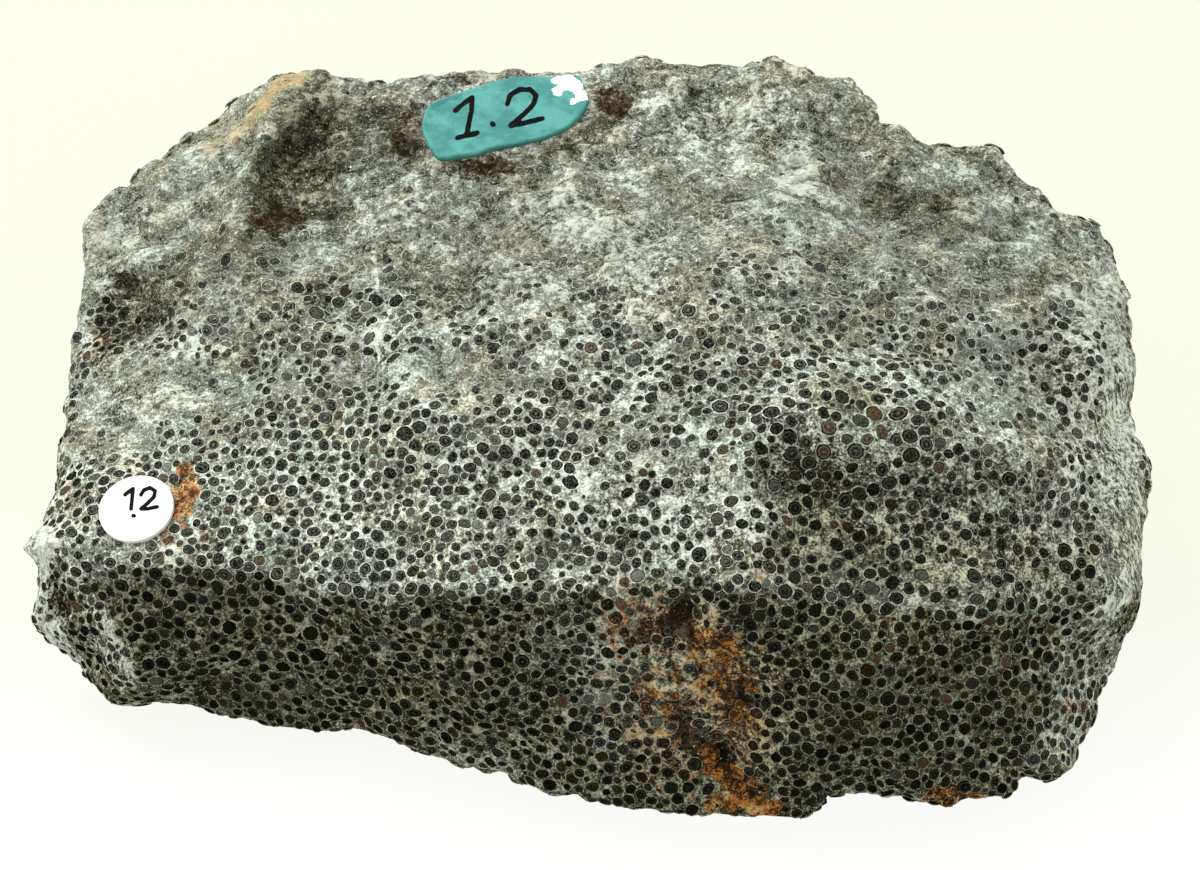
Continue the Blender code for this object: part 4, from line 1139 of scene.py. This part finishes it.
def smooth_over(points, faces, passes):
    """Evens out the heights of a triangulated sheet."""
    near = [set() for _ in points]
    for a, b, c in faces:
        near[a] |= {b, c}
        near[b] |= {a, c}
        near[c] |= {a, b}
    near = [list(s) for s in near]
    for _ in range(passes):
        means = [points[s].mean(axis=0) if s else points[i] for i, s in enumerate(near)]
        points = points * 0.4 + np.array(means) * 0.6
    return points


def closed_mesh(name, points, faces):
    """A smooth mesh whose faces all look outwards."""
    data = bpy.data.meshes.new(name)
    data.from_pydata(points, [], faces)
    mesh = bmesh.new()
    mesh.from_mesh(data)
    bmesh.ops.recalc_face_normals(mesh, faces=mesh.faces)
    mesh.to_mesh(data)
    mesh.free()
    data.update()
    data.shade_smooth()
    return data


def laid_on(stone, x, y):
    """Where the lines of sight to some pixels meet the stone, or the plane of the others, and its facing."""
    points, _ = mesh_arrays(stone)
    tree = BVHTree.FromPolygons(points.tolist(), [tuple(p.vertices) for p in stone.polygons])
    eye = Vector(EYE)
    ways = [sight_way(*place) for place in zip(x, y)]
    hits = [tree.ray_cast(eye, way)[:2] for way in ways]
    known = [(place, normal) for place, normal in hits if place is not None]
    facing = sum((normal for _, normal in known), Vector()).normalized()
    middle = sum((place for place, _ in known), Vector()) / len(known)
    base = []
    for way, (place, _) in zip(ways, hits):
        if place is None:
            place = eye + way * ((middle - eye).dot(facing) / way.dot(facing))
        base.append(place)
    return np.array(base), facing


def paint_material():
    material, n, shader = new_material("teal_enamel")
    places = n.places()
    patchy = n.noise(places, 2.6, 3.0, 0.6)
    streak = n.noise(places, 0.9, 2.0, 0.6, 1.5)
    colour = n.mix(n.step(patchy, 0.35, 0.65), TEAL, TEAL_PALE)
    colour = n.mix(n.step(streak, 0.55, 0.75, 0.0, 0.35), colour, TEAL_STREAK)
    colour = n.mix(n.step(n.value("edge"), 0.3, 0.0, 0.0, 0.6), colour, TEAL_EDGE)
    ragged = n.swing(n.noise(places, 0.5, 2.0, 0.7), 1.6)
    chipped = n.step(n.plus(n.value("chip"), ragged), 0.48, 0.6)
    colour = n.mix(chipped, colour, CHIP_WHITE)
    inked = n.step(n.plus(n.value("ink"), n.swing(n.noise(places, 0.6), 1.6)), *PEN_ON_PAINT)
    height = n.plus(streak, n.times(patchy, 0.6))
    colour = n.mix(inked, colour, INK)
    n.fill(shader, {"Base Color": colour, "Roughness": n.step(streak, 0.3, 0.7, 0.42, 0.6),
                    "Specular IOR Level": 0.03, "Normal": n.bump(height, 0.05 * MM, 0.8)})
    return material


SPOT_RADIUS_MM, SPOT_THICKNESS_MM, SPOT_SINK_MM, SPOT_BEVEL_MM = 4.0, 0.26, 0.24, 0.05
SPOT_BOW_MM, SPOT_RINGS, SPOT_SIDES = 0.05, 40, 112


def spot_data():
    """A round of paper with a die-cut edge, a little bowed, lying on its seat on the stone."""
    middle, facing = spot_frame()
    side = np.cross(facing, (0.0, 0.0, 1.0))
    side /= np.linalg.norm(side)
    other = np.cross(facing, side)
    angle = np.arange(SPOT_SIDES) * math.tau / SPOT_SIDES
    flat = np.linspace(0.0, SPOT_RADIUS_MM - SPOT_BEVEL_MM, SPOT_RINGS)[1:]
    profile = [(r, SPOT_THICKNESS_MM) for r in flat]
    profile += [(SPOT_RADIUS_MM, SPOT_THICKNESS_MM - SPOT_BEVEL_MM), (SPOT_RADIUS_MM, -SPOT_SINK_MM)]
    profile += [(SPOT_RADIUS_MM * 0.6, -SPOT_SINK_MM)]
    points = [middle + facing * SPOT_THICKNESS_MM * MM]
    reach = [0.0]
    for r, h in profile:
        bow = SPOT_BOW_MM * math.cos(r * 0.6)
        for a in angle:
            lift = h + bow + SPOT_BOW_MM * math.sin(2.0 * a + 0.7) * (r / SPOT_RADIUS_MM) ** 2
            points.append(middle + (side * math.cos(a) * r + other * math.sin(a) * r + facing * lift) * MM)
            reach.append(r)
    points.append(middle - facing * SPOT_SINK_MM * MM)
    faces = [[0, 1 + i, 1 + (i + 1) % SPOT_SIDES] for i in range(SPOT_SIDES)]
    for k in range(len(profile) - 1):
        for i in range(SPOT_SIDES):
            j = (i + 1) % SPOT_SIDES
            low, high = 1 + k * SPOT_SIDES, 1 + (k + 1) * SPOT_SIDES
            faces.append([low + i, high + i, high + j, low + j])
    last = 1 + (len(profile) - 1) * SPOT_SIDES
    faces += [[len(points) - 1, last + (i + 1) % SPOT_SIDES, last + i] for i in range(SPOT_SIDES)]
    data = closed_mesh("paper_label", [tuple(p) for p in points], faces)
    data.set_sharp_from_angle(angle=math.radians(40))
    x, y = picture_place(np.array(points))
    ink = stroke_distance(x, y, INK_ON_PAPER)
    under = np.arange(len(points)) >= 1 + (len(profile) - 3) * SPOT_SIDES
    add_values(data, "ink", np.where(under, NO_INK, ink))
    add_values(data, "reach", np.array(reach + [0.0]))
    return data


def paper_material():
    material, n, shader = new_material("white_paper")
    places = n.places()
    fibre = n.noise(places, 0.25, 3.0, 0.7, 1.0)
    colour = n.mix(n.step(fibre, 0.3, 0.7), PAPER_GREY, PAPER_WHITE)
    colour = n.mix(n.step(n.value("reach"), 3.75, 4.0, 0.0, 0.25), colour, PAPER_EDGE)
    inked = n.step(n.plus(n.value("ink"), n.swing(n.noise(places, 0.4), 0.8)), *PEN_ON_PAPER)
    n.fill(shader, {"Base Color": n.mix(inked, colour, INK), "Roughness": 0.45,
                    "Specular IOR Level": 0.02, "Normal": n.bump(fibre, 0.015 * MM)})
    return material


# No grain's middle is nearer than this to the paper's middle, or, in pixels, to the paint's outline.
PAPER_BARE_MM, PAINT_BARE = 4.1, 3.0


def on_label(points):
    """True where the paper or the paint covers the stone, so that no grain stands through it."""
    middle, _ = spot_frame()
    on_paper = np.linalg.norm(points - middle, axis=1) < PAPER_BARE_MM * MM
    x, y = picture_place(points)
    outline = rounded_outline(PAINT_OUTLINE, 1)
    on_paint = inside(x, y, outline) | (distance_to_outline(x, y, outline) < PAINT_BARE)
    return on_paper | on_paint


def add_camera():
    lens = bpy.data.cameras.new("photo_camera")
    lens.sensor_width = SENSOR
    lens.lens = SENSOR * EYE_DISTANCE / (PHOTO_SIZE[0] * PIXEL)
    lens.clip_start = 0.01
    camera = bpy.data.objects.new("photo_camera", lens)
    bpy.context.scene.collection.objects.link(camera)
    camera.location = Vector(EYE)
    centre = sight_way(PHOTO_SIZE[0] / 2, PHOTO_SIZE[1] / 2)
    camera.rotation_euler = centre.to_track_quat("-Z", "Y").to_euler()
    bpy.context.scene.camera = camera


def add_area(name, place, size, watts):
    """A soft square light that shines at the stone."""
    light = bpy.data.lights.new(name, "AREA")
    light.size = size
    light.energy = watts
    lamp = bpy.data.objects.new(name, light)
    bpy.context.scene.collection.objects.link(lamp)
    lamp.location = Vector(place)
    way = Vector((0.0, 0.0, 0.02)) - lamp.location
    lamp.rotation_euler = way.to_track_quat("-Z", "Y").to_euler()


# The floor: half its width, its own colours, and what it gives off at the rear and at the front.
FLOOR_REACH = 3.0
FLOOR_COLOURS = ((0.054, 0.056, 0.048), (0.060, 0.062, 0.053))
FLOOR_GLOW = ((0.915, 0.932, 0.772), (1.0, 1.0, 0.990))

# The studio lights: place in metres, width in metres, watts.
LIGHTS = {
    "key": ((-0.36, 0.38, 0.68), 0.5, 9.0),
    "right_fill": ((0.70, 0.08, 0.28), 0.40, 2.0),
    "left_fill": ((-0.70, 0.02, 0.22), 0.40, 1.6),
}
WORLD_COLOUR, WORLD_STRENGTH = (1.0, 1.0, 0.96, 1.0), 0.9


def add_studio():
    """A pale floor that glows like a light table, the soft lights and an even white world."""
    floor = bpy.data.meshes.new("floor")
    corners = [(a * FLOOR_REACH, b * FLOOR_REACH, 0.0) for a, b in ((-1, -1), (1, -1), (1, 1), (-1, 1))]
    floor.from_pydata(corners, [], [(0, 1, 2, 3)])
    piece = bpy.data.objects.new("floor", floor)
    bpy.context.scene.collection.objects.link(piece)
    piece.location.z = -0.05 * MM
    material, n, shader = new_material("pale_floor")
    places = n.places()
    near = n.step(n.add("ShaderNodeSeparateXYZ", "Y", {0: places}), 30.0, -50.0)
    colour = n.mix(n.noise(places, 40.0, 2.0), *FLOOR_COLOURS)
    n.fill(shader, {"Base Color": colour, "Roughness": 0.9, "Specular IOR Level": 0.1,
                    "Emission Color": n.mix(near, *FLOOR_GLOW), "Emission Strength": 0.94})
    floor.materials.append(material)
    for name, (place, size, watts) in LIGHTS.items():
        add_area(name, place, size, watts)
    world = bpy.data.worlds.new("studio")
    world.use_nodes = True
    background = world.node_tree.nodes["Background"]
    background.inputs["Color"].default_value = WORLD_COLOUR
    background.inputs["Strength"].default_value = WORLD_STRENGTH
    bpy.context.scene.world = world
    bpy.context.scene.view_settings.view_transform = "Standard"


# noise_vector would otherwise start from the clock and differ from run to run.
noise.seed_set(SEED)

add_camera()
add_studio()
stone = stone_data()
add_piece("oolite_stone", stone, stone_material(), "stone", "stone")
grain_pieces(stone, grain_material(), on_label)
add_piece("paper_label", spot_data(), paper_material(), "paper", "paper_spot")
add_piece("painted_label", paint_data(stone), paint_material(), "paint", "paint_patch")
